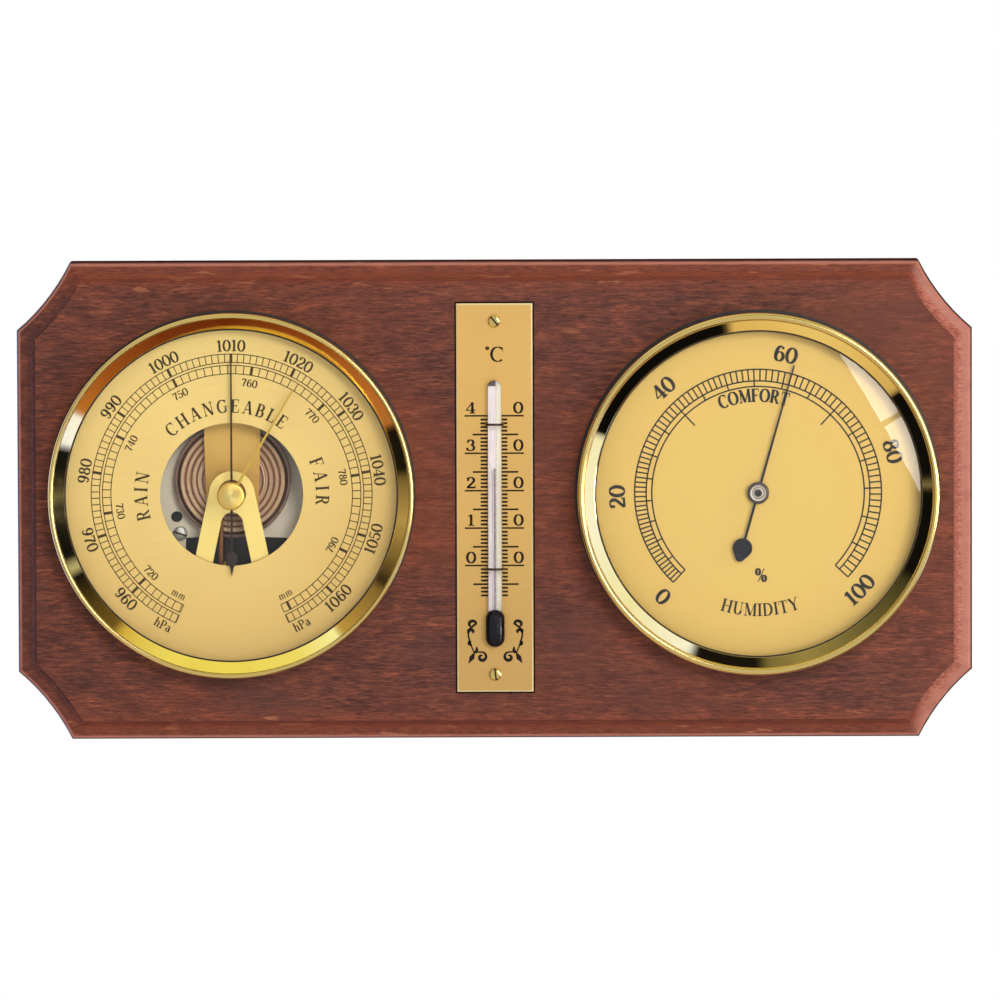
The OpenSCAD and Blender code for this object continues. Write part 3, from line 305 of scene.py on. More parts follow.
# Letters and digits for a height of 1: each has its width and its pen strokes. A stroke is its path, its
# width, which is None where the pen's angle sets it, and whether it closes
STEM = 0.175
HAIR = 0.07
THIN = 0.06
BEAK = 0.05


def line(x0, y0, x1, y1, width=HAIR):
    return ([(x0, y0), (x1, y1)], width, False)


def stem(x, y0=0.0, y1=1.0, width=STEM):
    return line(x, y0, x, y1, width)


def bar(x0, x1, y, width=HAIR):
    return line(x0, y, x1, y, width)


def serif(x, y, half=0.16):
    return bar(x - half, x + half, y + math.copysign(HAIR / 2, 0.5 - y))


def curve(path):
    """A stroke that is thick where it runs upright and thin where it runs level."""
    return (path, None, False)


def oval(cx, cy, rx, ry):
    return (arc(cx, cy, rx, ry, 0, 360 - 360 / 28, 27), None, True)


def hoop(x, y, radius, width):
    return (arc(x, y, radius, radius, 0, 330, 11), width, True)


def dot(x, y, r):
    return hoop(x, y, r / 2, r * 1.02)


GLYPHS = {
    "0": (0.66, [oval(0.33, 0.5, 0.24, 0.475)]),
    "1": (0.48, [stem(0.25), serif(0.25, 0, 0.18), line(0.22, 0.955, 0.07, 0.83)]),
    "2": (0.62, [curve(arc(0.3, 0.72, 0.2, 0.255, 160, -30, 14) + [(0.36, 0.42), (0.2, 0.22), (0.09, 0.06)]),
                 bar(0.07, 0.56, 0.065, 0.12), line(0.55, 0.0, 0.57, 0.24), dot(0.14, 0.74, 0.08)]),
    "3": (0.62, [curve(arc(0.29, 0.745, 0.18, 0.23, 150, -75, 14)),
                 curve(arc(0.28, 0.27, 0.235, 0.245, 80, -150, 16)),
                 dot(0.14, 0.8, 0.075), dot(0.1, 0.2, 0.08)]),
    "4": (0.66, [line(0.45, 0.97, 0.06, 0.3), bar(0.04, 0.62, 0.28), stem(0.44), serif(0.44, 0, 0.17)]),
    "5": (0.62, [bar(0.14, 0.52, 0.94, 0.11), line(0.14, 0.97, 0.12, 0.5),
                 curve(arc(0.29, 0.31, 0.225, 0.285, 128, -150, 20)), dot(0.1, 0.18, 0.08)]),
    "6": (0.64, [oval(0.33, 0.31, 0.2, 0.285), curve(arc(0.38, 0.36, 0.25, 0.61, 190, 78, 14)),
                 dot(0.47, 0.87, 0.075)]),
    "7": (0.6, [bar(0.08, 0.56, 0.925, 0.13), line(0.08, 1.0, 0.075, 0.74),
                curve([(0.53, 0.9), (0.38, 0.58), (0.3, 0.3), (0.28, 0.0)])]),
    "8": (0.64, [oval(0.32, 0.745, 0.165, 0.23), oval(0.32, 0.265, 0.21, 0.24)]),
    "9": (0.64, [oval(0.31, 0.69, 0.2, 0.285), curve(arc(0.26, 0.64, 0.25, 0.61, 10, -102, 14)),
                 dot(0.17, 0.13, 0.075)]),
    "A": (0.8, [line(0.12, 0.0, 0.39, 0.98, THIN), line(0.42, 1.0, 0.66, 0.0, STEM), bar(0.2, 0.58, 0.33),
                serif(0.12, 0, 0.12), serif(0.67, 0, 0.14)]),
    "B": (0.7, [stem(0.17), bar(0.03, 0.34, 0.97), bar(0.17, 0.34, 0.53), bar(0.03, 0.34, 0.03),
                curve(arc(0.33, 0.75, 0.2, 0.22, 90, -90, 12)),
                curve(arc(0.34, 0.28, 0.24, 0.25, 90, -90, 12))]),
    "C": (0.78, [curve(arc(0.43, 0.5, 0.33, 0.475, 48, 312, 24)), line(0.68, 0.98, 0.68, 0.7, BEAK)]),
    "D": (0.82, [stem(0.17), bar(0.03, 0.36, 0.97), bar(0.03, 0.36, 0.03),
                 curve(arc(0.34, 0.5, 0.36, 0.47, 90, -90, 18))]),
    "E": (0.68, [stem(0.17), bar(0.03, 0.58, 0.97), bar(0.17, 0.44, 0.52), bar(0.03, 0.6, 0.03),
                 line(0.57, 1.0, 0.59, 0.78, BEAK), line(0.44, 0.62, 0.44, 0.42, BEAK),
                 line(0.59, 0.0, 0.62, 0.26, BEAK)]),
    "F": (0.64, [stem(0.17), serif(0.17, 0), bar(0.03, 0.58, 0.97), bar(0.17, 0.44, 0.5),
                 line(0.57, 1.0, 0.59, 0.76, BEAK), line(0.44, 0.61, 0.44, 0.39, BEAK)]),
    "G": (0.84, [curve(arc(0.43, 0.5, 0.33, 0.475, 48, 318, 24)), line(0.68, 0.98, 0.68, 0.7, BEAK),
                 stem(0.68, 0.1, 0.42, 0.13), serif(0.68, 0.45, 0.14)]),
    "H": (0.86, [stem(0.17), stem(0.68), bar(0.17, 0.68, 0.51),
                 *(serif(x, y) for x in (0.17, 0.68) for y in (0, 1))]),
    "I": (0.36, [stem(0.18), serif(0.18, 0), serif(0.18, 1)]),
    "L": (0.66, [stem(0.17), serif(0.17, 1), bar(0.03, 0.58, 0.03), line(0.57, 0.0, 0.6, 0.28, BEAK)]),
    "M": (1.0, [stem(0.16, width=THIN), line(0.18, 1.0, 0.5, 0.03, STEM), line(0.5, 0.03, 0.82, 1.0, THIN),
                stem(0.84), serif(0.14, 0, 0.12), serif(0.12, 1, 0.1), serif(0.84, 0, 0.15),
                serif(0.88, 1, 0.11)]),
    "N": (0.86, [stem(0.16, width=THIN), line(0.17, 1.0, 0.69, 0.0, STEM), stem(0.71, width=THIN),
                 serif(0.16, 0, 0.12), serif(0.12, 1, 0.1), serif(0.71, 1, 0.12)]),
    "O": (0.84, [oval(0.42, 0.5, 0.33, 0.475)]),
    "P": (0.7, [stem(0.17), serif(0.17, 0), bar(0.03, 0.36, 0.97), bar(0.17, 0.36, 0.47),
                curve(arc(0.35, 0.72, 0.22, 0.25, 90, -90, 12))]),
    "R": (0.78, [stem(0.17), serif(0.17, 0), bar(0.03, 0.36, 0.97), bar(0.17, 0.36, 0.5),
                 curve(arc(0.35, 0.735, 0.2, 0.235, 90, -90, 12)), line(0.38, 0.5, 0.64, 0.0, 0.15),
                 serif(0.68, 0, 0.08)]),
    "T": (0.74, [stem(0.37), serif(0.37, 0), bar(0.06, 0.68, 0.97), line(0.08, 1.0, 0.05, 0.74, BEAK),
                 line(0.66, 1.0, 0.69, 0.74, BEAK)]),
    "U": (0.82, [stem(0.18, 0.3, 1.0), curve(arc(0.41, 0.32, 0.235, 0.3, 180, 360, 16)),
                 stem(0.655, 0.3, 1.0, THIN), serif(0.18, 1), serif(0.655, 1, 0.12)]),
    "Y": (0.8, [line(0.12, 1.0, 0.4, 0.46, STEM), line(0.68, 1.0, 0.42, 0.46, THIN), stem(0.4, 0.0, 0.48),
                serif(0.4, 0), serif(0.13, 1, 0.12), serif(0.68, 1, 0.1)]),
    "a": (0.54, [curve(arc(0.25, 0.5, 0.14, 0.15, 150, 0, 8) + [(0.39, 0.1), (0.46, 0.03), (0.52, 0.06)]),
                 oval(0.23, 0.2, 0.15, 0.18)]),
    "h": (0.62, [stem(0.14), curve(arc(0.31, 0.44, 0.16, 0.2, 170, 0, 10) + [(0.47, 0.0)]),
                 serif(0.14, 0, 0.12), serif(0.47, 0, 0.12), bar(0.03, 0.14, 0.97)]),
    "m": (0.96, [stem(0.14, 0.0, 0.64),
                 *(curve(arc(x, 0.44, 0.15, 0.2, 170, 0, 10) + [(x + 0.15, 0.0)]) for x in (0.3, 0.61)),
                 *(serif(x, 0, 0.1) for x in (0.14, 0.45, 0.77))]),
    "%": (0.86, [oval(0.2, 0.74, 0.13, 0.23), oval(0.64, 0.26, 0.13, 0.23), line(0.2, 0.0, 0.66, 1.0, THIN)]),
    "o": (0.3, [hoop(0.13, 0.87, 0.075, 0.07)]),
}


# Shader helpers
def srgb(r, g, b):
    """A colour given as it looks on screen, 0 to 255, as the renderer's linear colour."""
    out = []
    for value in (r, g, b):
        c = value / 255
        out.append(c / 12.92 if c <= 0.04045 else ((c + 0.055) / 1.055) ** 2.4)
    return (*out, 1.0)


class NodeTree:
    """A shader tree under construction."""

    def __init__(self, tree):
        self.tree = tree
        tree.nodes.clear()

    def add(self, kind, inputs=None, **settings):
        """A node. Each input is a number, a colour or another node's socket."""
        node = self.tree.nodes.new("ShaderNode" + kind)
        for key, value in settings.items():
            setattr(node, key, value)
        for key, value in (inputs or {}).items():
            if isinstance(value, bpy.types.NodeSocket):
                self.tree.links.new(value, node.inputs[key])
            else:
                node.inputs[key].default_value = value
        return node

    def math(self, operation, a, b=0.0):
        return self.add("Math", {0: a, 1: b}, operation=operation).outputs[0]

    def times(self, a, b):
        return self.math("MULTIPLY", a, b)

    def vector(self, operation, a, b=(0, 0, 0)):
        return self.add("VectorMath", {0: a, 1: b}, operation=operation).outputs[0]

    def mix(self, factor, a, b):
        """Colour a, turned into colour b by a factor from 0 to 1."""
        return self.add("Mix", {0: factor, 6: a, 7: b}, data_type="RGBA").outputs[2]

    def ramp(self, value, stops):
        """A colour ramp through (place, colour) stops, in order."""
        node = self.add("ValToRGB", {"Fac": value})
        elements = node.color_ramp.elements
        for element, (at, colour) in zip(elements[:], (stops[0], stops[-1])):
            element.position = at
            element.color = colour
        for at, colour in stops[1:-1]:
            elements.new(at).color = colour
        return node.outputs["Color"]


class Shader(NodeTree):
    """A material under construction."""

    def __init__(self, name):
        self.material = bpy.data.materials.new(name)
        self.material.use_nodes = True
        super().__init__(self.material.node_tree)
        self.out = self.add("OutputMaterial")

    def spot(self):
        """The place on the object, in metres."""
        return self.add("TexCoord").outputs["Object"]

    def axes(self):
        """The place on the object as the drawing frame's x, y and z, in mm."""
        drawn = self.vector("MULTIPLY", self.spot(), (1 / MM, -1 / MM, 1 / MM))
        parts = self.add("SeparateXYZ", {0: drawn}).outputs
        return parts["X"], parts["Z"], parts["Y"]

    def radius(self, centre):
        """The distance in mm from an axis square to the board."""
        off = self.vector("SUBTRACT", self.spot(), place(*centre, 0))
        flat = self.vector("MULTIPLY", off, (1 / MM, 0, 1 / MM))
        return self.add("VectorMath", {0: flat}, operation="LENGTH").outputs["Value"]

    def noise(self, scale, detail, rough=0.55, shift=(0, 0, 0), warp=None):
        """Noise whose size is 1 over scale, in metres. scale is one number or one for each axis."""
        if not isinstance(scale, tuple):
            scale = (scale, scale, scale)
        at = self.add("Mapping", {"Vector": self.spot(), "Scale": scale, "Location": shift}).outputs[0]
        if warp is not None:
            at = self.vector("ADD", at, warp)
        inputs = {"Vector": at, "Scale": 1.0, "Detail": detail, "Roughness": rough}
        return self.add("TexNoise", inputs).outputs["Fac"]

    def span(self, value, low, high, to_low=0.0, to_high=1.0):
        """Maps low..high of a value to to_low..to_high, smoothly and clamped."""
        inputs = {"Value": value, "From Min": low, "From Max": high, "To Min": to_low, "To Max": to_high}
        return self.add("MapRange", inputs, interpolation_type="SMOOTHSTEP").outputs[0]

    def bump(self, height, distance, strength):
        return self.add("Bump", {"Height": height, "Distance": distance, "Strength": strength}).outputs[0]

    def finish(self, inputs, clear=False):
        """Ends the material in a Principled shader. clear lets lamps through, as glass does."""
        end = self.add("BsdfPrincipled", inputs).outputs[0]
        if clear:
            path = self.add("LightPath").outputs
            lamps = self.math("MAXIMUM", path["Is Shadow Ray"], path["Is Diffuse Ray"])
            open_air = self.add("BsdfTransparent").outputs[0]
            end = self.add("MixShader", {0: lamps, 1: end, 2: open_air}).outputs[0]
        self.tree.links.new(end, self.out.inputs["Surface"])
        return self.material


# Wood. In mm out from the wall, the moulding's nose starts within NOSE, and its hollow starts within the
# first two of HOLLOW and ends within the last two. The moulding at the board's ends starts within END_X
NOSE = (13.0, 13.4)
HOLLOW = (14.1, 14.5, 17.0, 17.8)
END_X = (103.5, 108.5)


def wood():
    """Stained reddish wood: mottled face with short level grain; a moulding whose nose is worn paler and
    carries a painted highlight, broader at the right end; a hollow with painted shade at the left end and
    painted light at the right; darker stained flanks with painted shade, and a painted shadow line under the
    nose.
    """
    m = Shader("mahogany")
    drift = m.add("CombineXYZ", {"Z": m.times(m.noise(16, 2.0), 4.0)}).outputs[0]
    flecks = m.noise((330, 700, 3200), 6.0, 0.74, warp=drift)
    streaks = m.noise((70, 400, 900), 5.0, 0.62, warp=drift)
    mottle = m.noise((150, 300, 330), 4.0, 0.6, (3, 1, 7))
    blotches = m.noise((22, 22, 38), 4.0, 0.6, (5, 2, 1))
    patches = m.noise((11, 11, 17), 2.0, 0.5, (1, 9, 4))
    pores = m.noise((420, 2600, 4200), 3.0, 0.6)
    sparks = m.noise((110, 300, 620), 3.0, 0.5, (8, 3, 2))
    x, y, out = m.axes()

    # The face: grain, cool blotches, warm patches, rims and right end, pale sparks and dark pores
    grain = m.math("ADD", m.times(flecks, 0.62), m.times(streaks, 0.16))
    base = m.ramp(m.math("ADD", grain, m.times(mottle, 0.22)), [
        (0.39, srgb(66, 32, 27)),
        (0.46, srgb(88, 47, 38)),
        (0.51, srgb(107, 58, 45)),
        (0.56, srgb(128, 68, 50)),
        (0.63, srgb(166, 88, 60)),
    ])
    cool = m.mix(m.span(blotches, 0.48, 0.68, 0.0, 0.5), base, srgb(94, 56, 47))
    rim = m.span(m.math("ABSOLUTE", y), 50, 56.5, 0.0, 0.8)
    red = m.math("MAXIMUM", m.span(patches, 0.44, 0.66, 0.0, 0.4), m.span(x, 85, 125, 0.0, 0.3))
    warm_by = m.math("MAXIMUM", red, m.times(rim, m.span(flecks, 0.3, 0.6)))
    warm = m.mix(m.times(warm_by, 0.7), cool, srgb(152, 72, 44))
    spark_by = m.times(m.span(sparks, 0.64, 0.70, 0.0, 0.6), m.span(rim, 0.0, 0.8, 0.25, 1.0))
    sparked = m.mix(spark_by, warm, srgb(190, 118, 82))
    face = m.mix(m.span(pores, 0.58, 0.70, 0.0, 0.5), sparked, srgb(54, 28, 24))

    # The moulding: a nose worn paler with a painted highlight that is broader at the right end, and a hollow
    # with painted shade at the left end and flecked painted light at the right
    right = m.span(x, *END_X)
    left = m.span(m.times(x, -1.0), *END_X)
    # Painted highlight: at the right end the nose's pale band reaches further in
    right_nose_highlight = m.times(right, m.span(out, 14.9, 14.2))
    nose = m.times(m.span(out, *NOSE), m.math("MAXIMUM", m.span(out, 14.05, 13.7), right_nose_highlight))
    worn_and_highlit = m.mix(m.times(nose, m.span(mottle, 0.25, 0.6, 0.7, 1.0)), face, srgb(186, 118, 99))
    # Painted shade darkens the hollow at the left end, and flecked painted light pales it at the right end
    hollow = m.times(m.span(out, HOLLOW[0], HOLLOW[1]), m.span(out, HOLLOW[3], HOLLOW[2]))
    hollow_shaded_left = m.mix(left, srgb(138, 66, 46), srgb(84, 50, 46))
    hollow_lit_right = m.mix(m.span(flecks, 0.44, 0.54), srgb(150, 78, 66), srgb(196, 122, 98))
    hollow_light_by = m.times(hollow, m.span(right, 0.0, 1.0, 0.4, 0.85))
    moulding_light_and_shade = m.mix(hollow_light_by, worn_and_highlit, m.mix(right, hollow_shaded_left, hollow_lit_right))

    # The flanks, stained darker and with painted shade, and a painted shadow line under the nose, which is
    # broader at the ends and along the foot
    flank_stain_and_shade = m.mix(m.span(flecks, 0.4, 0.62), srgb(60, 31, 26), srgb(88, 47, 37))
    flank_stain_and_shade_by = m.times(m.span(out, 12.9, 12.1), m.span(out, 0.4, 1.4))
    at_ends = m.span(m.math("ABSOLUTE", x), *END_X, 0.0, 0.6)
    at_foot = m.span(y, -54, -57, 0.0, 0.5)
    rise = m.math("SUBTRACT", out, m.math("MAXIMUM", at_ends, at_foot))
    shade = m.times(m.span(rise, 12.95, 12.6), m.span(out, 11.2, 12.0))
    return m.finish({
        "Base Color": m.mix(shade, m.mix(flank_stain_and_shade_by, moulding_light_and_shade, flank_stain_and_shade), srgb(46, 22, 19)),
        "Roughness": m.span(streaks, 0.3, 0.7, 0.5, 0.38),
        "Specular IOR Level": m.span(out, 12.2, 13.4, 0.0, 0.22),
        "Coat Weight": m.span(out, 12.2, 13.4, 0.0, 0.05),
        "Coat Roughness": 0.2,
        "Normal": m.bump(m.math("ADD", streaks, m.times(pores, -0.6)), 0.00003, 0.6),
    })


# Other materials. The pitches are in mm
RIDGE_PITCH = 1.4
TURNING_PITCH = 0.16


def metal(name, colour, dark, roughness, grain=900, grain_depth=0.0, smudge=0.04, tarnish=0.25,
          metallic=1.0, slot_shade_from=None):
    """A metal with fine brush marks of size grain (per metre on each axis), smudges and darker patches.

    slot_shade_from is how far out from the wall, in mm, the painted shade in a screw's slot starts.
    """
    m = Shader(name)
    brush = m.noise(grain, 3.0, 0.6)
    patches = m.noise(160, 3.0, 0.6, (2, 5, 3))
    tint = m.mix(m.span(patches, 0.5, 0.75, 0.0, tarnish), srgb(*colour), srgb(*dark))
    # Painted shade: the metal turns dark inside a screw's slot, from the given depth out
    if slot_shade_from is not None:
        out = m.axes()[2]
        tint = m.mix(m.span(out, slot_shade_from, slot_shade_from + 0.1), tint, srgb(36, 28, 20))
    smudged = m.span(patches, 0.35, 0.7, roughness, roughness + smudge)
    rough = m.math("ADD", smudged, m.times(m.math("SUBTRACT", brush, 0.5), smudge))
    inputs = {"Base Color": tint, "Metallic": metallic, "Roughness": rough}
    if grain_depth:
        inputs["Normal"] = m.bump(brush, grain_depth, 0.5)
    return m.finish(inputs)


def dial_gold(name, colour, edge, centre, reach):
    """Satin gold plate with fine brush marks and painted shade: darker towards its edge, away from a centre
    that stands for a painted sheen.
    """
    m = Shader(name)
    brush = m.noise((90, 90, 4200), 3.0, 0.6)
    cloud = m.noise(28, 2.0, 0.5, (4, 4, 4))
    # Painted shade, growing away from the centre of a painted sheen
    edge_shade = m.span(m.radius(centre), reach * 0.35, reach)
    tint = m.mix(m.times(edge_shade, 0.55), srgb(*colour), srgb(*edge))
    streak = m.mix(m.span(brush, 0.3, 0.7, 0.0, 0.10), tint, srgb(*edge))
    return m.finish({
        "Base Color": m.mix(m.span(cloud, 0.4, 0.65, 0.0, 0.16), streak, srgb(*edge)),
        "Metallic": 0.55,
        "Roughness": m.span(brush, 0.3, 0.7, 0.44, 0.52),
        "Specular IOR Level": 0.4,
        "Normal": m.bump(brush, 0.00001, 0.35),
    })


def paint(name, colour, other, roughness, scale=900, spec=0.4):
    """Print, lacquer or plastic: one colour clouded with another, with a fine tooth."""
    m = Shader(name)
    cloud = m.noise(scale, 3.0, 0.6)
    return m.finish({
        "Base Color": m.mix(m.span(cloud, 0.35, 0.7), srgb(*colour), srgb(*other)),
        "Roughness": m.span(cloud, 0.3, 0.7, roughness, roughness + 0.1),
        "Specular IOR Level": spec,
    })


def glass(name, level, ior, rough=0.0):
    """Clear glass, whose tint is a grey level from 0 to 255."""
    m = Shader(name)
    return m.finish({
        "Base Color": srgb(level, level, level),
        "Transmission Weight": 1.0,
        "Roughness": m.span(m.noise(300, 2.0), 0.55, 0.8, rough, rough + 0.01),
        "IOR": ior,
    }, clear=True)


def capsule_copper():
    """Pinkish copper with painted highlights on its ridges, painted shade in the grooves and a painted dark
    ring near its rim.
    """
    m = Shader("capsule_copper")
    off = m.radius((BARO[0], BARO[1] + 2.9))
    # Painted highlight and shade: a wave across the radius, pale on the ridges and brown in the grooves
    ridge_light_and_shade = m.math("SINE", m.times(off, 2 * math.pi / RIDGE_PITCH))
    cloud = m.noise(200, 3.0)
    tint = m.mix(m.span(ridge_light_and_shade, -0.9, 0.9), srgb(132, 74, 46), srgb(255, 228, 184))
    # Painted shade: a dark ring near the capsule's rim
    tint = m.mix(m.span(off, 13.4, 14.1, 0.0, 0.85), tint, srgb(76, 34, 22))
    return m.finish({
        "Base Color": m.mix(m.span(cloud, 0.45, 0.7, 0.0, 0.3), tint, srgb(190, 140, 110)),
        "Metallic": 0.12,
        "Roughness": m.span(cloud, 0.3, 0.7, 0.26, 0.36),
    })


def tube_white():
    """White enamel behind the tube, with a pale yellow painted highlight on its right, a thin painted line of
    shade such as refraction gives, and a painted dark reflection at its sealed top.
    """
    m = Shader("tube_white")
    cloud = m.noise((700, 700, 200), 3.0)
    x, y = m.axes()[:2]
    pale = m.mix(m.span(cloud, 0.35, 0.7), srgb(250, 240, 240), srgb(240, 228, 230))
    # Painted highlight: pale yellow on the right
    cream_highlight = m.mix(m.span(x, 0.35, 0.5), pale, srgb(255, 249, 222))
    # Painted shade: a thin line left of the highlight, such as refraction gives
    refraction_line = m.times(m.span(x, 0.2, 0.3), m.span(x, 0.48, 0.38))
    lined = m.mix(m.times(refraction_line, 0.3), cream_highlight, srgb(196, 180, 170))
    # Painted reflection: dark at the top, left of the highlight
    top_dark_reflection = m.times(m.span(y, 28.7, 29.0), m.span(x, 0.5, 0.0))
    return m.finish({
        "Base Color": m.mix(m.times(top_dark_reflection, 0.9), lined, srgb(62, 44, 24)),
        "Roughness": m.span(cloud, 0.3, 0.7, 0.28, 0.4),
        "Specular IOR Level": 0.4,
    })


def knob_brass():
    """Brass faced on a lathe: fine rings about its axis, whose sheen fans out from the middle, and a painted
    sheen that makes the colour paler towards the middle.
    """
    m = Shader("turned_brass")
    off = m.radius(BARO)
    rings = m.math("SINE", m.times(off, 2 * math.pi / TURNING_PITCH))
    return m.finish({
        # Painted sheen: paler towards the middle of the face
        "Base Color": m.mix(m.span(off, 0.0, 3.5), srgb(255, 230, 146), srgb(250, 206, 108)),
        "Metallic": 1.0,
        "Roughness": m.span(m.noise(500, 3.0), 0.3, 0.7, 0.27, 0.30),
        "Anisotropic": 0.75,
        "Tangent": m.add("Tangent", direction_type="RADIAL", axis="Y").outputs[0],
        "Normal": m.bump(rings, 0.000004, 0.4),
    })


BRASS = (238, 208, 128)
BRIGHT = (BRASS, (206, 160, 84))
SATIN = ((226, 182, 98), (178, 126, 60))
GREY = ((176, 176, 178), (110, 108, 106))
MAHOGANY = wood()
BRASS_BRIGHT = metal("polished_brass", *BRIGHT, 0.035, smudge=0.02, tarnish=0.15)
BRASS_ROLLED = metal("rolled_brass", *BRIGHT, 0.17, smudge=0.03, tarnish=0.15)
BRASS_SATIN = metal("satin_brass", *SATIN, 0.3, (120, 120, 3000), 0.000004)
BRASS_SLOTTED = metal("slotted_brass", *SATIN, 0.3, (120, 120, 3000), slot_shade_from=2.15)
# Painted shade: the leaf spring darkens away from a point near its top
BRASS_LEAF = dial_gold("leaf_brass", (230, 188, 98), (182, 128, 54), (BARO[0], BARO[1] + 17), 15)
STEEL = metal("steel", *GREY, 0.28)
STEEL_SLOTTED = metal("slotted_steel", *GREY, 0.28, slot_shade_from=0.15)
HAND_BRASS = metal("hand_brass", (196, 164, 70), (150, 118, 44), 0.3, 600)
BRIDGE_GOLD = metal("bridge_gold", (240, 214, 128), (222, 186, 96), 0.36, (200, 200, 3000), 0.000003,
                    tarnish=0.12)
BRONZE = metal("bronze", (128, 84, 52), (76, 44, 26), 0.32)
SILVER = metal("silver_plate", (255, 243, 214), (226, 204, 170), 0.3, (200, 200, 2600), 0.000004,
               tarnish=0.2, metallic=0.06)
CLIP = metal("clip_wire", (96, 74, 66), (40, 30, 34), 0.22)
NICKEL = metal("nickel", (250, 244, 232), (214, 200, 182), 0.22, metallic=0.7)
GUNMETAL = metal("gunmetal", (92, 84, 78), (50, 44, 42), 0.3)
# Painted highlight: the eyelet's pale ring
EYELET_RING_HIGHLIGHT = metal("eyelet_ring_highlight", (186, 176, 162), (140, 130, 120), 0.3)
CHAIN_METAL = metal("chain_metal", (96, 74, 60), (52, 38, 30), 0.35)
COPPER = capsule_copper()
KNOB_BRASS = knob_brass()
# Painted sheen and shade: the dials and the plate darken away from a sheen's centre, up and left on the
# barometer and near the top of the plate
DIAL_BARO = dial_gold("gold_dial_baro", (237, 207, 126), (204, 161, 84), (BARO[0] - 4, BARO[1] + 20), 62)
DIAL_HYGRO = dial_gold("gold_dial_hygro", (216, 181, 95), (217, 178, 90), HYGRO, 42)
PLATE_GOLD = dial_gold("gold_plate", (228, 183, 104), (188, 148, 88), (0, THERMO_Y + 44), 96)
# Painted highlight: the plate's bevel is paler
PLATE_EDGE_HIGHLIGHT = paint("plate_edge_highlight", (250, 228, 172), (240, 212, 150), 0.3)
BLUED = paint("pointer_black", (48, 33, 24), (34, 26, 26), 0.36, spec=0.22)
NAVY = paint("pointer_navy", (16, 18, 30), (12, 13, 22), 0.4, spec=0.12)
LACQUER = paint("black_lacquer", (26, 25, 24), (38, 36, 33), 0.35)
# Painted shadow: the dark sheet under the thermometer plate
PLATE_SHADOW = paint("plate_shadow", (44, 24, 18), (32, 17, 13), 0.8, spec=0.1)
PRINT_OLIVE = paint("print_olive", (64, 47, 16), (82, 61, 26), 0.55, spec=0.15)
PRINT_DARK = paint("print_dark", (24, 19, 13), (34, 28, 18), 0.6, spec=0.2)
LIQUID = paint("dark_liquid", (7, 6, 14), (11, 10, 22), 0.06, 500, 0.18)
THREAD = paint("column_liquid", (148, 136, 146), (160, 148, 156), 0.2, spec=0.3)
# Painted shade: the eyelet's dark middle
EYELET_HOLE_SHADE = paint("eyelet_hole_shade", (34, 30, 29), (24, 21, 20), 0.5)
ENAMEL = tube_white()
PANE = glass("clear_glass", 254, 1.25)
DOME = glass("dome_glass", 254, 1.36)
TUBE_GLASS = glass("tube_glass", 253, 1.14, 0.02)

# Bezels, turned from sheet brass
BEZEL_FOOT = 18.05
BEAD_Z = 27.3
SHEET = 0.6
CONE_FOOT_R = 42.6


def bezel(name, centre, r_out, bead_r, lip_r, lip_z, lip_top, node):
    """A drawn rim: wall, rolled bead, mirror-bright cone and a small lip on the glass."""
    bead = arc(r_out - bead_r, BEAD_Z, bead_r, bead_r, 0, 180, 24)
    top_r = bead[-1][0]
    cone = [(top_r + (lip_r - top_r) * t, BEAD_Z + (lip_top - BEAD_Z) * t) for t in (0.04, 0.94)]
    # Rounding makes four points of each corner, and the lip is the middle one
    lip = rounded([cone[1], (lip_r, lip_top), (lip_r, lip_z)], 0.05)[4:-4]
    inside = [
        (lip_r, lip_z),
        (CONE_FOOT_R, lip_z),
        (r_out - SHEET, BEAD_Z - SHEET),
        (r_out - SHEET, BEZEL_FOOT),
        (r_out, BEZEL_FOOT),
    ]
    made = lathe(name, bead + cone + lip + inside, centre, BRASS_BRIGHT, "polished_brass", 360, sharp=32)
    finish_faces(made, BRASS_ROLLED,
                 lambda face: from_axis(face, centre) > top_r and -face.center.y / MM > BEAD_Z)
    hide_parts(node)


bezel("baro_rim", BARO, 45.75, 0.65, 41.75, 24.6, 24.9, "baro_bezel")
bezel("hygro_rim", HYGRO, 45.4, 0.95, 41.0, 24.97, 25.6, "hygro_bezel")

# Dark rings of painted shadow: on the glass inside each lip and under each rim
for name, centre, r0, r1, z0, z1 in (
    ("baro_shadow_ring", BARO, 41.4, 41.8, 24.62, 24.78),
    ("hygro_shadow_ring", HYGRO, 40.62, 41.05, 24.99, 25.16),
    ("baro_foot_shadow_ring", BARO, 45.3, 46.1, 18.0, 18.3),
    ("hygro_foot_shadow_ring", HYGRO, 44.9, 45.9, 18.0, 18.3),
):
    lathe(name, rounded(box_loop(r0, r1, z0, z1), 0.05), centre, LACQUER, "black_lacquer", sharp=30)

# Flat glass, with a hole for the knob's bush
GLASS_Z = 23.0
GLASS_T = 1.6
pane_profile = rounded(box_loop(1.9, 43.0, GLASS_Z, GLASS_Z + GLASS_T), 0.15)
baro_pane = lathe("baro_pane", pane_profile, BARO, PANE, "clear_glass", sharp=25)
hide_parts("baro_glass")

# Domed glass of even thickness
DOME_R = 42.8
DOME_BALL = 230.98
DOME_TOP = 28.6
DOME_STEPS = 40


def dome_side(ball, top):
    """One side of the dome in section, from its middle to its edge."""
    radii = [DOME_R * i / DOME_STEPS for i in range(DOME_STEPS + 1)]
    return [(r, top - ball + math.sqrt(ball * ball - r * r)) for r in radii]


dome_profile = dome_side(DOME_BALL, DOME_TOP) + dome_side(DOME_BALL - GLASS_T, DOME_TOP - GLASS_T)[::-1]
hygro_dome = lathe("hygro_dome", dome_profile, HYGRO, DOME, "clear_glass", sharp=25)
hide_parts("hygro_glass")

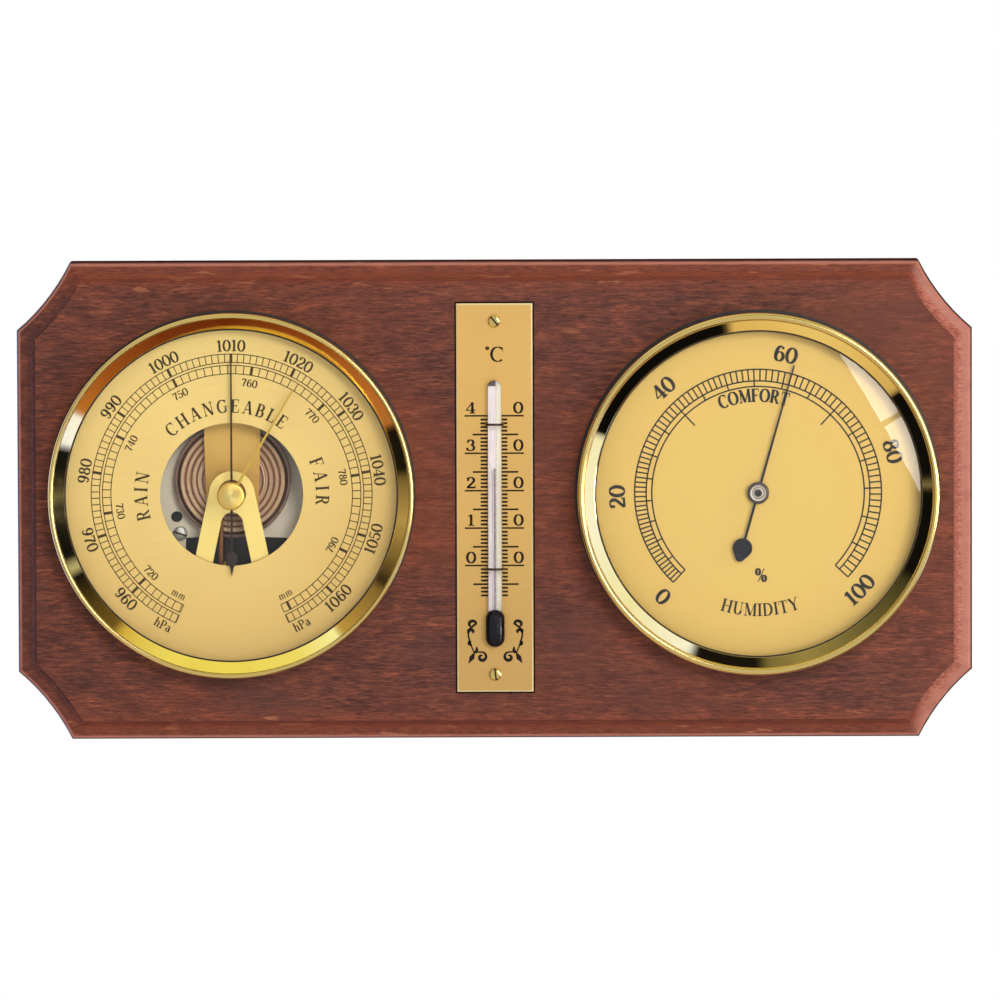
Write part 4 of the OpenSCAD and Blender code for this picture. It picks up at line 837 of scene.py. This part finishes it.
# Barometer dial's print: an outer scale in hPa, and an inner one in mm of mercury by (value, angle) pairs
HPA_OUT, HPA_IN = 35.1, 33.0
HPA_MIDDLE, HPA_DEGREES = 1010, 2.69
MM_OUT, MM_IN = 32.3, 30.2
MERCURY = [(714, -155.6), (720, -134), (730, -98.4), (740, -62.75), (750, -26.75), (760, 9.4),
           (770, 45.9), (780, 81.4), (790, 116.9), (800, 153.1)]
SCALE_END = 156.3
FINE, BOLD = 0.22, 0.7


def between(table, value):
    """Reads a value from a table of (value, angle) pairs, in a straight line between them."""
    for (v0, a0), (v1, a1) in zip(table, table[1:]):
        if value <= v1 or (v1, a1) == table[-1]:
            return a0 + (a1 - a0) * (value - v0) / (v1 - v0)


baro_ink = Ink(DIAL_TOP, BARO)
for radius in (HPA_OUT, HPA_IN, MM_OUT, MM_IN):
    baro_ink.ring(radius, FINE, -SCALE_END, SCALE_END)
for hpa in range(952, 1069):
    baro_ink.tick((hpa - HPA_MIDDLE) * HPA_DEGREES, HPA_IN, HPA_OUT, BOLD if hpa % 10 == 0 else FINE)
for height in range(714, 801):
    baro_ink.tick(between(MERCURY, height), MM_IN, MM_OUT, BOLD if height % 10 == 0 else FINE)
for end in (-SCALE_END, SCALE_END):
    baro_ink.tick(end, HPA_IN, HPA_OUT, FINE)
    baro_ink.tick(end, MM_IN, MM_OUT, FINE)
for hpa in range(960, 1061, 10):
    angle = (hpa - HPA_MIDDLE) * HPA_DEGREES
    flip = hpa in (960, 970, 1050, 1060)
    baro_ink.text_on_arc(str(hpa), 37.2, 2.8, angle, flip, weight=1.12, squeeze=1.15)
for height in range(720, 791, 10):
    flip = height in (720, 730, 790)
    baro_ink.text_on_arc(str(height), 28.2, 1.9, between(MERCURY, height), flip, weight=1.1, squeeze=1.12)
for side in (-1, 1):
    baro_ink.text_on_arc("hPa", 36.9, 2.3, side * 152, True, 0.02, 0.95)
    baro_ink.text_on_arc("mm", 28.3, 1.9, side * 152, True, 0.02, 0.85)
baro_ink.text_on_arc("CHANGEABLE", 22.2, 3.3, -4, gap=0.24, weight=0.98)
baro_ink.text_on_arc("RAIN", 22.8, 3.3, -91, gap=0.3, weight=0.98)
baro_ink.text_on_arc("FAIR", 22.8, 3.3, 82, gap=0.36, weight=0.98)
baro_ink.build("baro_print", PRINT_OLIVE)

# Hygrometer dial's print: (percent, angle) pairs, and how far each number is turned from its tick
HUMIDITY = [(0, -136.5), (5, -126.5), (10, -115.5), (15, -105), (20, -94.1), (25, -82.5), (30, -70.4),
            (35, -56.5), (40, -43.1), (45, -29.4), (50, -15.9), (55, -1.9), (60, 12.9), (65, 27.75),
            (70, 42.9), (75, 57.9), (80, 73.1), (85, 87.9), (90, 102.9), (95, 117.9), (100, 133.4)]
NUDGES = {0: -1.0, 20: 2.5, 40: 1.0, 60: -1.5, 80: 0.0, 100: 0.5}
RINGS = (30.9, 28.0, 26.6)
ZONE, ZONE_R = (40, 70), 23.1
HYGRO_LINE = 0.37
hygro_ink = Ink(DIAL_TOP, HYGRO)
for radius in RINGS:
    hygro_ink.ring(radius, HYGRO_LINE, HUMIDITY[0][1], HUMIDITY[-1][1])
for percent in range(101):
    foot = RINGS[2] if percent % 5 == 0 else RINGS[1]
    if percent in ZONE:
        foot = ZONE_R
    hygro_ink.tick(between(HUMIDITY, percent), foot, RINGS[0], HYGRO_LINE)
for percent, nudge in NUDGES.items():
    angle = between(HUMIDITY, percent) + nudge
    hygro_ink.text_on_arc(str(percent), 35.3, 3.9, angle, percent == 100, weight=1.3, squeeze=1.2)
hygro_ink.text_on_arc("COMFORT", 24.4, 3.3, -2.5, gap=0.03, weight=1.25, squeeze=0.94)
hygro_ink.text_line("%", HYGRO[0] + 0.75, HYGRO[1] - 22.4, 3.4, weight=1.15)
hygro_ink.text_on_arc("HUMIDITY", 29.4, 3.2, 179, True, 0.05, 0.98)
hygro_ink.build("hygro_print", PRINT_DARK)

# Thermometer plate's print: the ends of the ticks left and right of the tube
TENS = ((-7.55, -1.5), (1.7, 7.3))
FIVES = ((-5.5, -1.5), (1.7, 5.9))
ONES = ((-3.55, -1.5), (1.7, 3.2))
ZERO_Y = THERMO_Y - 17.0061
DEGREE = 0.9405
plate_ink = Ink(THERMO_FACE)
for degree in range(-8, 41):
    y = ZERO_Y + degree * DEGREE
    if degree % 10 == 0:
        spans, width = TENS, 0.4
    elif degree % 5 == 0:
        spans, width = FIVES, 0.44
    else:
        spans, width = ONES, 0.48
    for x0, x1 in spans:
        plate_ink.ribbon([(x0, y), (x1, y)], width)
for ten in range(5):
    y = ZERO_Y + ten * 10 * DEGREE + 0.62
    plate_ink.text_line(str(ten), -6.0, y, 2.8, weight=1.3, squeeze=1.45)
    plate_ink.text_line("0", 5.95, y, 2.8, weight=1.3, squeeze=1.45)
plate_ink.text_line("o", -1.7, 35.2, 3.7, weight=1.6, squeeze=1.1)
plate_ink.text_line("C", 0.65, 35.0, 3.8, squeeze=1.25)


def spiral(cx, cy, r0, r1, a0, a1, steps):
    """A curl from radius r0 to r1 between two angles."""
    out = []
    for i in range(steps + 1):
        t = i / steps
        a = math.radians(a0 + (a1 - a0) * t)
        r = r0 + (r1 - r0) * t
        out.append((cx + r * math.cos(a), cy + r * math.sin(a)))
    return out


def swelling(count, thin, thick):
    """Widths that swell in the middle of a stroke."""
    return [thin + (thick - thin) * math.sin(math.pi * i / (count - 1)) for i in range(count)]


FORK = (-5.3, -38.2)
SCROLLS = [
    spiral(-5.9, -31.1, 0.35, 1.25, 250, 20, 18) + [(-6.9, -32.5), (-6.7, -34.2), (-6.1, -36.2), FORK],
    spiral(-5.9, -32.9, 0.2, 0.75, -60, 200, 14),
    spiral(-6.2, -35.6, 0.2, 0.6, 60, 300, 12),
    [FORK, (-5.6, -39.5), (-6.6, -40.5), (-6.2, -39.2), FORK],
    [FORK, (-4.6, -37.4), (-4.7, -36.6)],
    [FORK, (-4.3, -37.9)] + spiral(-3.4, -39.2, 1.25, 0.3, 80, -300, 22),
]
for mirror in (1, -1):
    for scroll in SCROLLS:
        plate_ink.ribbon([(mirror * x, y) for x, y in scroll], swelling(len(scroll), 0.3, 0.82))
plate_ink.build("thermo_print", PRINT_DARK)

# Knob of the set hand
knob_profile = rounded([
    (0.0, 22.1), (0.9, 22.1), (0.9, 24.95), (2.3, 24.95), (2.3, 25.35), (1.7, 25.6), (1.7, 26.0),
    (3.2, 26.25), (3.44, 26.5), (3.44, 28.25), (3.2, 28.5), (0.0, 28.85),
], 0.12)
knob = lathe("knob_turned", knob_profile, BARO, KNOB_BRASS, "polished_brass", 160, body="set_hand", sharp=28)
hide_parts("set_knob")

# Thermometer plate: bevelled all round with a painted highlight on the bevel, with a slot behind the bulb, on
# a thin dark sheet of painted shadow
PLATE_HALF_W, PLATE_HALF_H = 9.55, 48.8
PLATE_LOW, PLATE_HIGH = THERMO_Y - PLATE_HALF_H, THERMO_Y + PLATE_HALF_H
PLATE_BEVEL = 0.36
SCREW_Y = 44.4
SCREW_HOLE = 0.9
BULB_SLOT = (-1.75, 1.75, -36.2, -27.4, 1.4)
# The dark sheet of painted shadow under the plate: how far it reaches out and in, its thickness and its
# corners
SHADOW_OUT, SHADOW_IN, SHADOW_T, SHADOW_CORNER = 0.42, 1, 0.12, 0.3


def plate_loop(grow, r=0.0):
    """The plate's outline, larger all round by grow."""
    return box_loop(-PLATE_HALF_W - grow, PLATE_HALF_W + grow, PLATE_LOW - grow, PLATE_HIGH + grow, r)


plate_loops = [plate_loop(0)]
for y in (THERMO_Y + SCREW_Y, THERMO_Y - SCREW_Y):
    plate_loops.append(arc(0, y, SCREW_HOLE, SCREW_HOLE, 0, 345, 23))
plate_loops.append(box_loop(*BULB_SLOT))
thermo_sheet = flat_plate("thermo_sheet", plate_loops, BOARD_TOP, THERMO_FACE, PLATE_GOLD, "gold_dial",
                          PLATE_BEVEL)
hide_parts("thermo_plate")
# Painted highlight: the bevel faces get the paler finish
finish_faces(thermo_sheet, PLATE_EDGE_HIGHLIGHT, lambda face: 0.5 < -face.normal.y < 0.9)
# Painted shadow: a thin dark sheet, a little larger than the plate, under it
flat_plate("thermo_shadow_sheet", [plate_loop(SHADOW_OUT, SHADOW_CORNER), plate_loop(-SHADOW_IN, SHADOW_CORNER)],
           BOARD_TOP, BOARD_TOP + SHADOW_T, PLATE_SHADOW, "black_lacquer")


# Slotted screw heads
def slotted_screw(points, faces, x, y, base, radius, height, slot, angle):
    """Adds a domed screw head with a real slot, in two halves on a low floor."""
    step = 0.3 * height
    rows, columns = 9, 13
    for half_turn in (0, 180):
        a = math.radians(angle + half_turn)
        cosine, sine = math.cos(a), math.sin(a)
        grid = []
        for i in range(rows):
            u = slot / 2 + (radius * 0.999 - slot / 2) * math.sin(math.pi / 2 * i / (rows - 1))
            reach = math.sqrt(max(radius * radius - u * u, 0))
            grid.append(list(range(len(points), len(points) + columns)))
            for j in range(columns):
                v = reach * (2 * j / (columns - 1) - 1)
                share = min((u * u + v * v) / (radius * radius), 1.0)
                z = base + step + (height - step) * math.sqrt(1 - share**1.7)
                points.append((x + u * cosine - v * sine, y + u * sine + v * cosine, z))
        rim = grid[0][:0:-1] + [across[0] for across in grid[:-1]]
        rim += grid[-1][:-1] + [across[-1] for across in grid[:0:-1]]
        foot = row(len(points), len(rim))
        points += [(*points[k][:2], base) for k in rim]
        faces += skin(grid) + skin([rim + rim[:1], foot]) + [foot[-2::-1]]
    floor_ring = arc(x, y, radius * 0.97, radius * 0.97, 0, 350, 35)
    top, bottom = (row(len(points) + k * len(floor_ring), len(floor_ring)) for k in (0, 1))
    points += [(px, py, z) for z in (base + step * 0.5, base - 1.5) for px, py in floor_ring]
    faces += skin([top, bottom]) + [top[:-1], bottom[-2::-1]]


def screw_set(name, places, base, radius, height, slot, material, node, material_slot):
    """Screw heads of one kind, at (x, y, angle), with the floors of their slots black as painted shade."""
    points, faces = [], []
    for x, y, angle in places:
        slotted_screw(points, faces, x, y, base, radius, height, slot, angle)
    made = make_piece(name, points, faces, material, material_slot, sharp=35)
    # Painted shade: the slot floors are black
    finish_faces(made, LACQUER, lambda face: len(face.vertices) == 36 and face.normal.y < -0.9)
    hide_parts(node)


plate_screws = [(0, THERMO_Y + SCREW_Y, 40), (0, THERMO_Y - SCREW_Y, 8)]
screw_set("thermo_round_heads", plate_screws, THERMO_FACE, 1.6, 0.9, 0.42, BRASS_BRIGHT, "thermo_screws",
          "polished_brass")
base_screws = [(BARO[0] + x, BARO[1] + y, angle)
               for x, y, angle in ((-13.7, -10.9, 70), (25, -7, 20), (-20.5, 17.5, 50), (20.5, 17.5, 10))]
screw_set("base_plate_round_heads", base_screws, 5.0, 1.9, 0.9, 0.45, NICKEL, "base_plate_screws", "steel")

# Tube: enamel behind it, liquid in its bulb and the thread of liquid that rises
TUBE_Z, TUBE_TOP = 20.6, 30.5
BULB_TOP, BULB_LOW = -27.0, -36.6
BULB_R, BULB_WALL = 2.26, 0.14
ENAMEL_R, ENAMEL_T = 1.62, 0.12
DOME_FOOT = TUBE_TOP - 1.75
COLUMN_TOP = 8.303
COLUMN_R, COLUMN_TIP_R, NEAR_AXIS = 0.25, 0.14, 0.001
COLUMN_ROWS = 40


def stand(name, profile, material, slot, steps, start=0, sweep=360, **how):
    """Turns a profile of (radius, height) about the tube's axis, all round or over part of a turn."""
    columns = steps + (sweep < 360)
    points, rows = [], []
    for radius, y in profile:
        rows.append([len(points) + i % columns for i in range(steps + 1)])
        for x, z in arc(0, TUBE_Z, radius, radius, start, start + sweep, steps)[:columns]:
            points.append((x, y, z))
    return make_piece(name, points, skin(rows), material, slot, **how)


bulb_profile = arc(0, BULB_LOW + BULB_WALL + BULB_R, BULB_R, BULB_R, -90, 0, 10)
bulb_profile += arc(0, BULB_TOP - BULB_WALL - BULB_R, BULB_R, BULB_R, 0, 90, 10)
bulb = stand("bulb_fill", bulb_profile, LIQUID, "thermo_liquid", 64, sharp=60)
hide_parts("bulb_liquid")
shell = [(ENAMEL_R, BULB_TOP - 0.6)] + arc(0, DOME_FOOT, ENAMEL_R, ENAMEL_R, 0, 81, 9)
lining = [(max(r - ENAMEL_T, 0.02), y - (ENAMEL_T if y > TUBE_TOP - 1.5 else 0)) for r, y in shell[::-1]]
enamel = stand("tube_enamel", shell + lining + shell[:1], ENAMEL, "opal_glass", 32, 180, 180, sharp=40)
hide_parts("tube_backing")
thread_profile = [(NEAR_AXIS, BULB_TOP)]
for i in range(COLUMN_ROWS + 1):
    thread_profile.append((COLUMN_R, BULB_TOP + (COLUMN_TOP - BULB_TOP) * i / COLUMN_ROWS))
thread_profile += [(COLUMN_TIP_R, COLUMN_TOP), (NEAR_AXIS, COLUMN_TOP)]
thread = stand("liquid_thread", thread_profile, THREAD, "thermo_liquid", 20, sharp=60, body=None)
place(0, BULB_TOP, TUBE_Z)
place(0, COLUMN_TOP, TUBE_Z)
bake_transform(thread)
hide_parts("liquid_column")

# Arm that hands the leaf's movement down to the rocking shaft, with an eye for its pin
TAB_R, EYE_R, TAB_HALF_T = 0.75, 0.58, 0.3
STRIP_HALF_W, STRIP_T = 0.6, 1
arm_low, arm_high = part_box("transfer_arm")
arm_x = BARO[0] - 3.0
arm_foot, arm_head = arm_low[2] / MM, arm_high[2] / MM
eye_y, eye_z = arm_foot + TAB_R, -arm_high[1] / MM + TAB_R
arm_top = -arm_low[1] / MM
points, faces = [], []
tab = arc(eye_y, eye_z, TAB_R, TAB_R, 180, 360) + [(eye_y + TAB_R, arm_top - 0.5), (arm_foot, arm_top - 0.5)]
eye = arc(eye_y, eye_z, EYE_R, EYE_R, 0, 345, 23)
slab(points, faces, [tab, eye], (arm_x - TAB_HALF_T, arm_x + TAB_HALF_T), lambda u, v, end: (end, u, v))
strip = rounded(box_loop(arm_x - STRIP_HALF_W, arm_x + STRIP_HALF_W, arm_top - STRIP_T, arm_top), 0.15)
slab(points, faces, [strip], (arm_head, arm_foot), lambda u, v, end: (u, end, v))
arm = make_piece("transfer_link", points, faces, BRONZE, "bronze", body="leaf", sharp=30)
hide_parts("transfer_arm")


# Chain of oval links from the arbor's drum down to the rocking arm
def chain_links(x, z, y0, y1, count):
    """Links of a fine chain, each turned a quarter from the next."""
    points, faces = [], []
    pitch = (y1 - y0) / count
    long, wide, wire = pitch * 0.68, 0.17, 0.062
    around, across = 14, 6
    for n in range(count):
        rows = []
        for i in range(around):
            a = 2 * math.pi * i / around
            rows.append(row(len(points), across))
            for j in range(across):
                b = 2 * math.pi * j / across
                u = (wide + wire * math.cos(b)) * math.cos(a)
                v = (long + wire * math.cos(b)) * math.sin(a) + y0 + pitch * (n + 0.5)
                w = wire * math.sin(b)
                side, depth = (u, w) if n % 2 else (-w, u)
                points.append((x + side, min(max(v, y0), y1), z + depth))
        faces += skin(rows + rows[:1])
    made = make_piece("chain_links", points, faces, CHAIN_METAL, "steel", body=None, sharp=60)
    place(x, y1, z)
    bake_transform(made)
    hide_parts("chain")


chain_links(BARO[0] - 1.1, 15.0, BARO[1] - 21.0, BARO[1], 34)

# Eyelet of the humidity pointer
eyelet_profile = [
    (0.0, 21.2), (0.35, 21.2), (0.45, 21.62), (0.8, 21.62), (0.95, 21.3), (1.3, 21.25), (1.5, 21.6),
    (2.0, 21.65), (2.2, 21.35), (2.45, 21.3), (2.6, 21.15), (2.75, 21.0), (2.75, 20.92), (0.0, 20.92),
]
eyelet = lathe("eyelet_turned", eyelet_profile, HYGRO, GUNMETAL, "steel", 96,
               body="humidity_pointer", sharp=40)
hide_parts("hygro_eyelet")
# Painted highlight on a pale ring round the eyelet's middle, and painted shade on the dark middle
finish_faces(eyelet, EYELET_RING_HIGHLIGHT, lambda face: 1.1 < from_axis(face, HYGRO) < 2.05)
finish_faces(eyelet, EYELET_HOLE_SHADE, lambda face: from_axis(face, HYGRO) < 0.95)

# Finishes of the CAD pieces that stay
for finish, names in (
    (MAHOGANY, "board"),
    (BRASS_SATIN, "hanger_plate capsule_stud leaf_clamp rocking_shaft lower_cock bridge_screws knob_bush"),
    (BRASS_SATIN, "hygro_bridge"),
    (BRASS_SLOTTED, "zero_screw coil_adjuster"),
    (BRASS_LEAF, "leaf_spring"),
    (STEEL, "baro_case_screws pointer_arbor hairspring hygro_case_screws hygro_bridge_screws coil_arbor"),
    (STEEL_SLOTTED, "hanger_screws"),
    (SILVER, "baro_base_plate spring_pillar rocker_brackets bridge_pillars"),
    (COPPER, "aneroid_capsule capsule_diaphragm"),
    (BRONZE, "arbor_bearing humidity_coil"),
    (BRIDGE_GOLD, "bridge"),
    (LACQUER, "baro_case baro_spacer_ring hygro_case hygro_spacer_ring"),
    (DIAL_BARO, "baro_dial"),
    (DIAL_HYGRO, "hygro_dial"),
    (BLUED, "baro_pointer"),
    (NAVY, "hygro_pointer"),
    (HAND_BRASS, "set_hand"),
    (TUBE_GLASS, "thermo_tube"),
    (CLIP, "tube_clips"),
):
    for name in names.split():
        nodes[name].data.materials.clear()
        nodes[name].data.materials.append(finish)

# The studio round the part, which polished metal mirrors: (angle, colour) of the cards seen by each form
VIEW_UP = 3.5
WORLD_LEVEL = 0.42
FRONT_LEVEL = 0.62
BARO_CARDS = [
    (0, (104, 42, 10)), (30, (140, 66, 20)), (55, (182, 104, 40)), (66, (176, 104, 44)), (68, (24, 20, 12)),
    (82, (26, 22, 12)), (85, (120, 94, 44)), (98, (176, 144, 70)), (112, (110, 86, 36)), (119, (40, 32, 14)),
    (122, (130, 100, 44)), (140, (186, 146, 60)), (142, (248, 236, 150)), (156, (238, 216, 100)),
    (180, (238, 214, 84)), (204, (236, 212, 90)), (217, (214, 176, 66)), (221, (110, 82, 28)),
    (236, (60, 46, 18)), (242, (16, 14, 10)), (245, (190, 176, 110)), (249, (18, 16, 10)),
    (266, (30, 28, 18)), (270, (96, 88, 50)), (274, (16, 14, 10)), (286, (22, 20, 14)),
    (288.5, (252, 248, 226)), (298, (248, 240, 206)), (300, (186, 112, 40)), (316, (156, 80, 26)),
    (338, (116, 50, 14)), (360, (104, 42, 10)),
]
HYGRO_CARDS = [
    (0, (226, 182, 92)), (20, (232, 194, 104)), (40, (222, 180, 92)), (51.5, (206, 166, 84)),
    (53, (14, 12, 8)), (84, (16, 14, 8)), (87, (120, 104, 56)), (89, (14, 12, 8)), (118, (16, 14, 8)),
    (122, (66, 58, 28)), (146, (112, 98, 48)), (166, (150, 130, 66)), (178, (120, 104, 50)),
    (182, (26, 22, 12)), (203, (22, 18, 10)), (206, (250, 244, 208)), (230, (242, 228, 160)),
    (258, (250, 242, 200)), (289, (244, 232, 176)), (291, (12, 10, 6)), (347, (14, 12, 6)),
    (350, (220, 176, 90)), (360, (226, 182, 92)),
]
EDGE_CARDS = [
    (0, (168, 120, 80)), (40, (224, 190, 120)), (70, (250, 240, 210)), (120, (236, 214, 150)),
    (180, (190, 150, 90)), (250, (90, 66, 40)), (300, (120, 90, 60)), (360, (168, 120, 80)),
]


def grey(level):
    return (level, level, level, 1.0)


def world_light():
    """White towards the viewer, and for polished metal the dark and bright cards of a studio."""
    world = bpy.data.worlds.new("studio")
    bpy.context.scene.world = world
    world.use_nodes = True
    w = NodeTree(world.node_tree)

    # The slope that a mirror would need to show this part of the world: its tilt and which way round
    up = math.radians(VIEW_UP)
    towards = w.add("TexCoord").outputs["Generated"]
    half = w.vector("NORMALIZE", w.vector("SUBTRACT", towards, (0.0, math.cos(up), -math.sin(up))))
    parts = w.add("SeparateXYZ", {0: half}).outputs
    tilt = w.math("ARCCOSINE", w.times(parts["Y"], -1.0))
    turn = w.math("ARCTAN2", w.times(parts["X"], -1.0), w.times(parts["Z"], -1.0))
    share = w.math("FRACT", w.math("ADD", w.math("DIVIDE", turn, 2 * math.pi), 1.0))

    def cards(stops):
        """The world's colour by clock angle, so that brass shows the colours of the stops."""
        brass = srgb(*BRASS)
        lit = []
        for at, colour in stops:
            seen = srgb(*colour)
            lit.append((at / 360, (*(min(seen[i] / brass[i], 4.0) for i in range(3)), 1.0)))
        return w.ramp(share, lit)

    def steeper(degrees, soft=0.01):
        """1 where the tilt is more than so many degrees, else 0. soft is in radians."""
        edge = math.radians(degrees)
        return w.add("MapRange", {"Value": tilt, "From Min": edge - soft, "From Max": edge + soft}).outputs[0]

    # Fronts are nearly level, the hygrometer's cone slopes less than the barometer's, and edges most
    cones = w.mix(steeper(37.4), cards(HYGRO_CARDS), cards(BARO_CARDS))
    near = w.mix(steeper(29.5), grey(FRONT_LEVEL), cones)
    shown = w.mix(steeper(48, 0.05), near, cards(EDGE_CARDS))
    path = w.add("LightPath").outputs
    mirror_view = w.times(path["Is Glossy Ray"], w.math("SUBTRACT", 1.0, path["Is Transmission Ray"]))
    clear_view = w.math("MAXIMUM", path["Is Camera Ray"], path["Is Transmission Ray"])
    lit = w.mix(clear_view, w.mix(mirror_view, grey(WORLD_LEVEL), shown), grey(1.0))
    w.add("OutputWorld", {"Surface": w.add("Background", {"Color": lit, "Strength": 1.0}).outputs[0]})


world_light()


# Lamps
def area_lamp(name, where, aim, width, height, power, shows, roll=0.0, slide=0.0):
    """A soft box that faces a point. roll turns its long side, slide moves it along that side.

    shows is "diffuse" for a lamp that polished metal and glass don't mirror, "gloss" for one that only
    they do, and "within" for one that things behind glass mirror too.
    """
    data = bpy.data.lights.new(name, "AREA")
    data.shape = "RECTANGLE"
    data.size, data.size_y = width, height
    data.energy = power
    lamp = bpy.data.objects.new(name, data)
    look = (Vector(aim) - Vector(where)).to_track_quat("-Z", "Y").to_matrix().to_4x4()
    turn = Matrix.Rotation(math.radians(roll), 4, Vector((0, 0, 1)))
    lamp.matrix_world = Matrix.Translation(where) @ look @ turn @ Matrix.Translation((0, slide, 0))
    lamp.visible_glossy = shows != "diffuse"
    lamp.visible_diffuse = shows == "diffuse"
    lamp.visible_transmission = shows == "within"
    bpy.context.scene.collection.objects.link(lamp)


def off_axis(centre, right, up, distance=1.2):
    """A place in front of an instrument, by its angles to the right and up from straight ahead."""
    way = Vector((math.tan(math.radians(right)), -1.0, math.tan(math.radians(up)))).normalized()
    return place(*centre, 25) + way * distance


# The window with a bar that the domed glass mirrors
WINDOW_W, WINDOW_L, WINDOW_BAR = 0.22, 0.62, 0.016
WINDOW_SPLIT = 0.02
WINDOW_LEVEL = 13.5
window_at = off_axis(HYGRO, 24.2, 8.6)
for name, way in (("window_upper", 1), ("window_lower", -1)):
    length = WINDOW_L / 2 - way * WINDOW_SPLIT - WINDOW_BAR / 2
    slide = WINDOW_SPLIT + way * (WINDOW_BAR + length) / 2
    power = WINDOW_LEVEL * math.pi * WINDOW_W * length
    area_lamp(name, window_at, place(*HYGRO, 25), WINDOW_W, length, power, "gloss", 28.5, slide)

# A strip of light at the right, which the glass tube and its bulb mirror as an upright line
STRIP_W, STRIP_L, STRIP_LEVEL = 0.09, 0.34, 24.0
strip_power = STRIP_LEVEL * math.pi * STRIP_W * STRIP_L
area_lamp("strip", off_axis((0, 0), 75, -14), place(0, 0, 20), STRIP_W, STRIP_L, strip_power, "within")

# Soft lamps that polished things don't mirror
for name, where, size, power in (
    ("front", (0.42, -2.1, 0.62), 0.5, 19.0),
    ("right", (1.5, -0.3, 0.55), 0.6, 11.0),
    ("fill", (-0.8, -1.3, 0.35), 0.8, 0.8),
):
    area_lamp(name, where, (0, 0, 0), size, size, power, "diffuse")

# Floor
FLOOR_Y, FLOOR_R, FLOOR_STEPS = -300, 1200, 96


def floor():
    """A pale round floor under the board."""
    m = Shader("floor_pale")
    tint = m.mix(m.noise(3, 2.0), grey(0.90), grey(0.88))
    points = []
    for i in range(FLOOR_STEPS):
        x, z = on_clock((0, 200), FLOOR_R, 360 * i / FLOOR_STEPS)
        points.append(place(x, FLOOR_Y, z))
    mesh = bpy.data.meshes.new("floor")
    mesh.from_pydata(points, [], [tuple(range(FLOOR_STEPS))])
    mesh.update()
    mesh.materials.append(m.finish({"Base Color": tint, "Roughness": 0.8, "Specular IOR Level": 0.2}))
    obj = bpy.data.objects.new("floor", mesh)
    obj.visible_glossy = False
    bpy.context.scene.collection.objects.link(obj)


floor()

# Camera
FRAME_WIDTH = 0.25096
ROLL = 0.2
DISTANCE = 2.5
camera_data = bpy.data.cameras.new("camera")
camera_data.sensor_width = 36
camera_data.lens = 36 * DISTANCE / FRAME_WIDTH
camera = bpy.data.objects.new("camera", camera_data)
target = place(1.29, 0.25, BOARD_TOP)
up = math.radians(VIEW_UP)
camera.location = target + Vector((0, -math.cos(up), math.sin(up))) * DISTANCE
camera.rotation_mode = "QUATERNION"
tilt = Quaternion((1, 0, 0), math.pi / 2 - up)
camera.rotation_quaternion = tilt @ Quaternion((0, 0, 1), -math.radians(ROLL))
bpy.context.scene.collection.objects.link(camera)
bpy.context.scene.camera = camera
bpy.context.scene.view_settings.view_transform = "Standard"
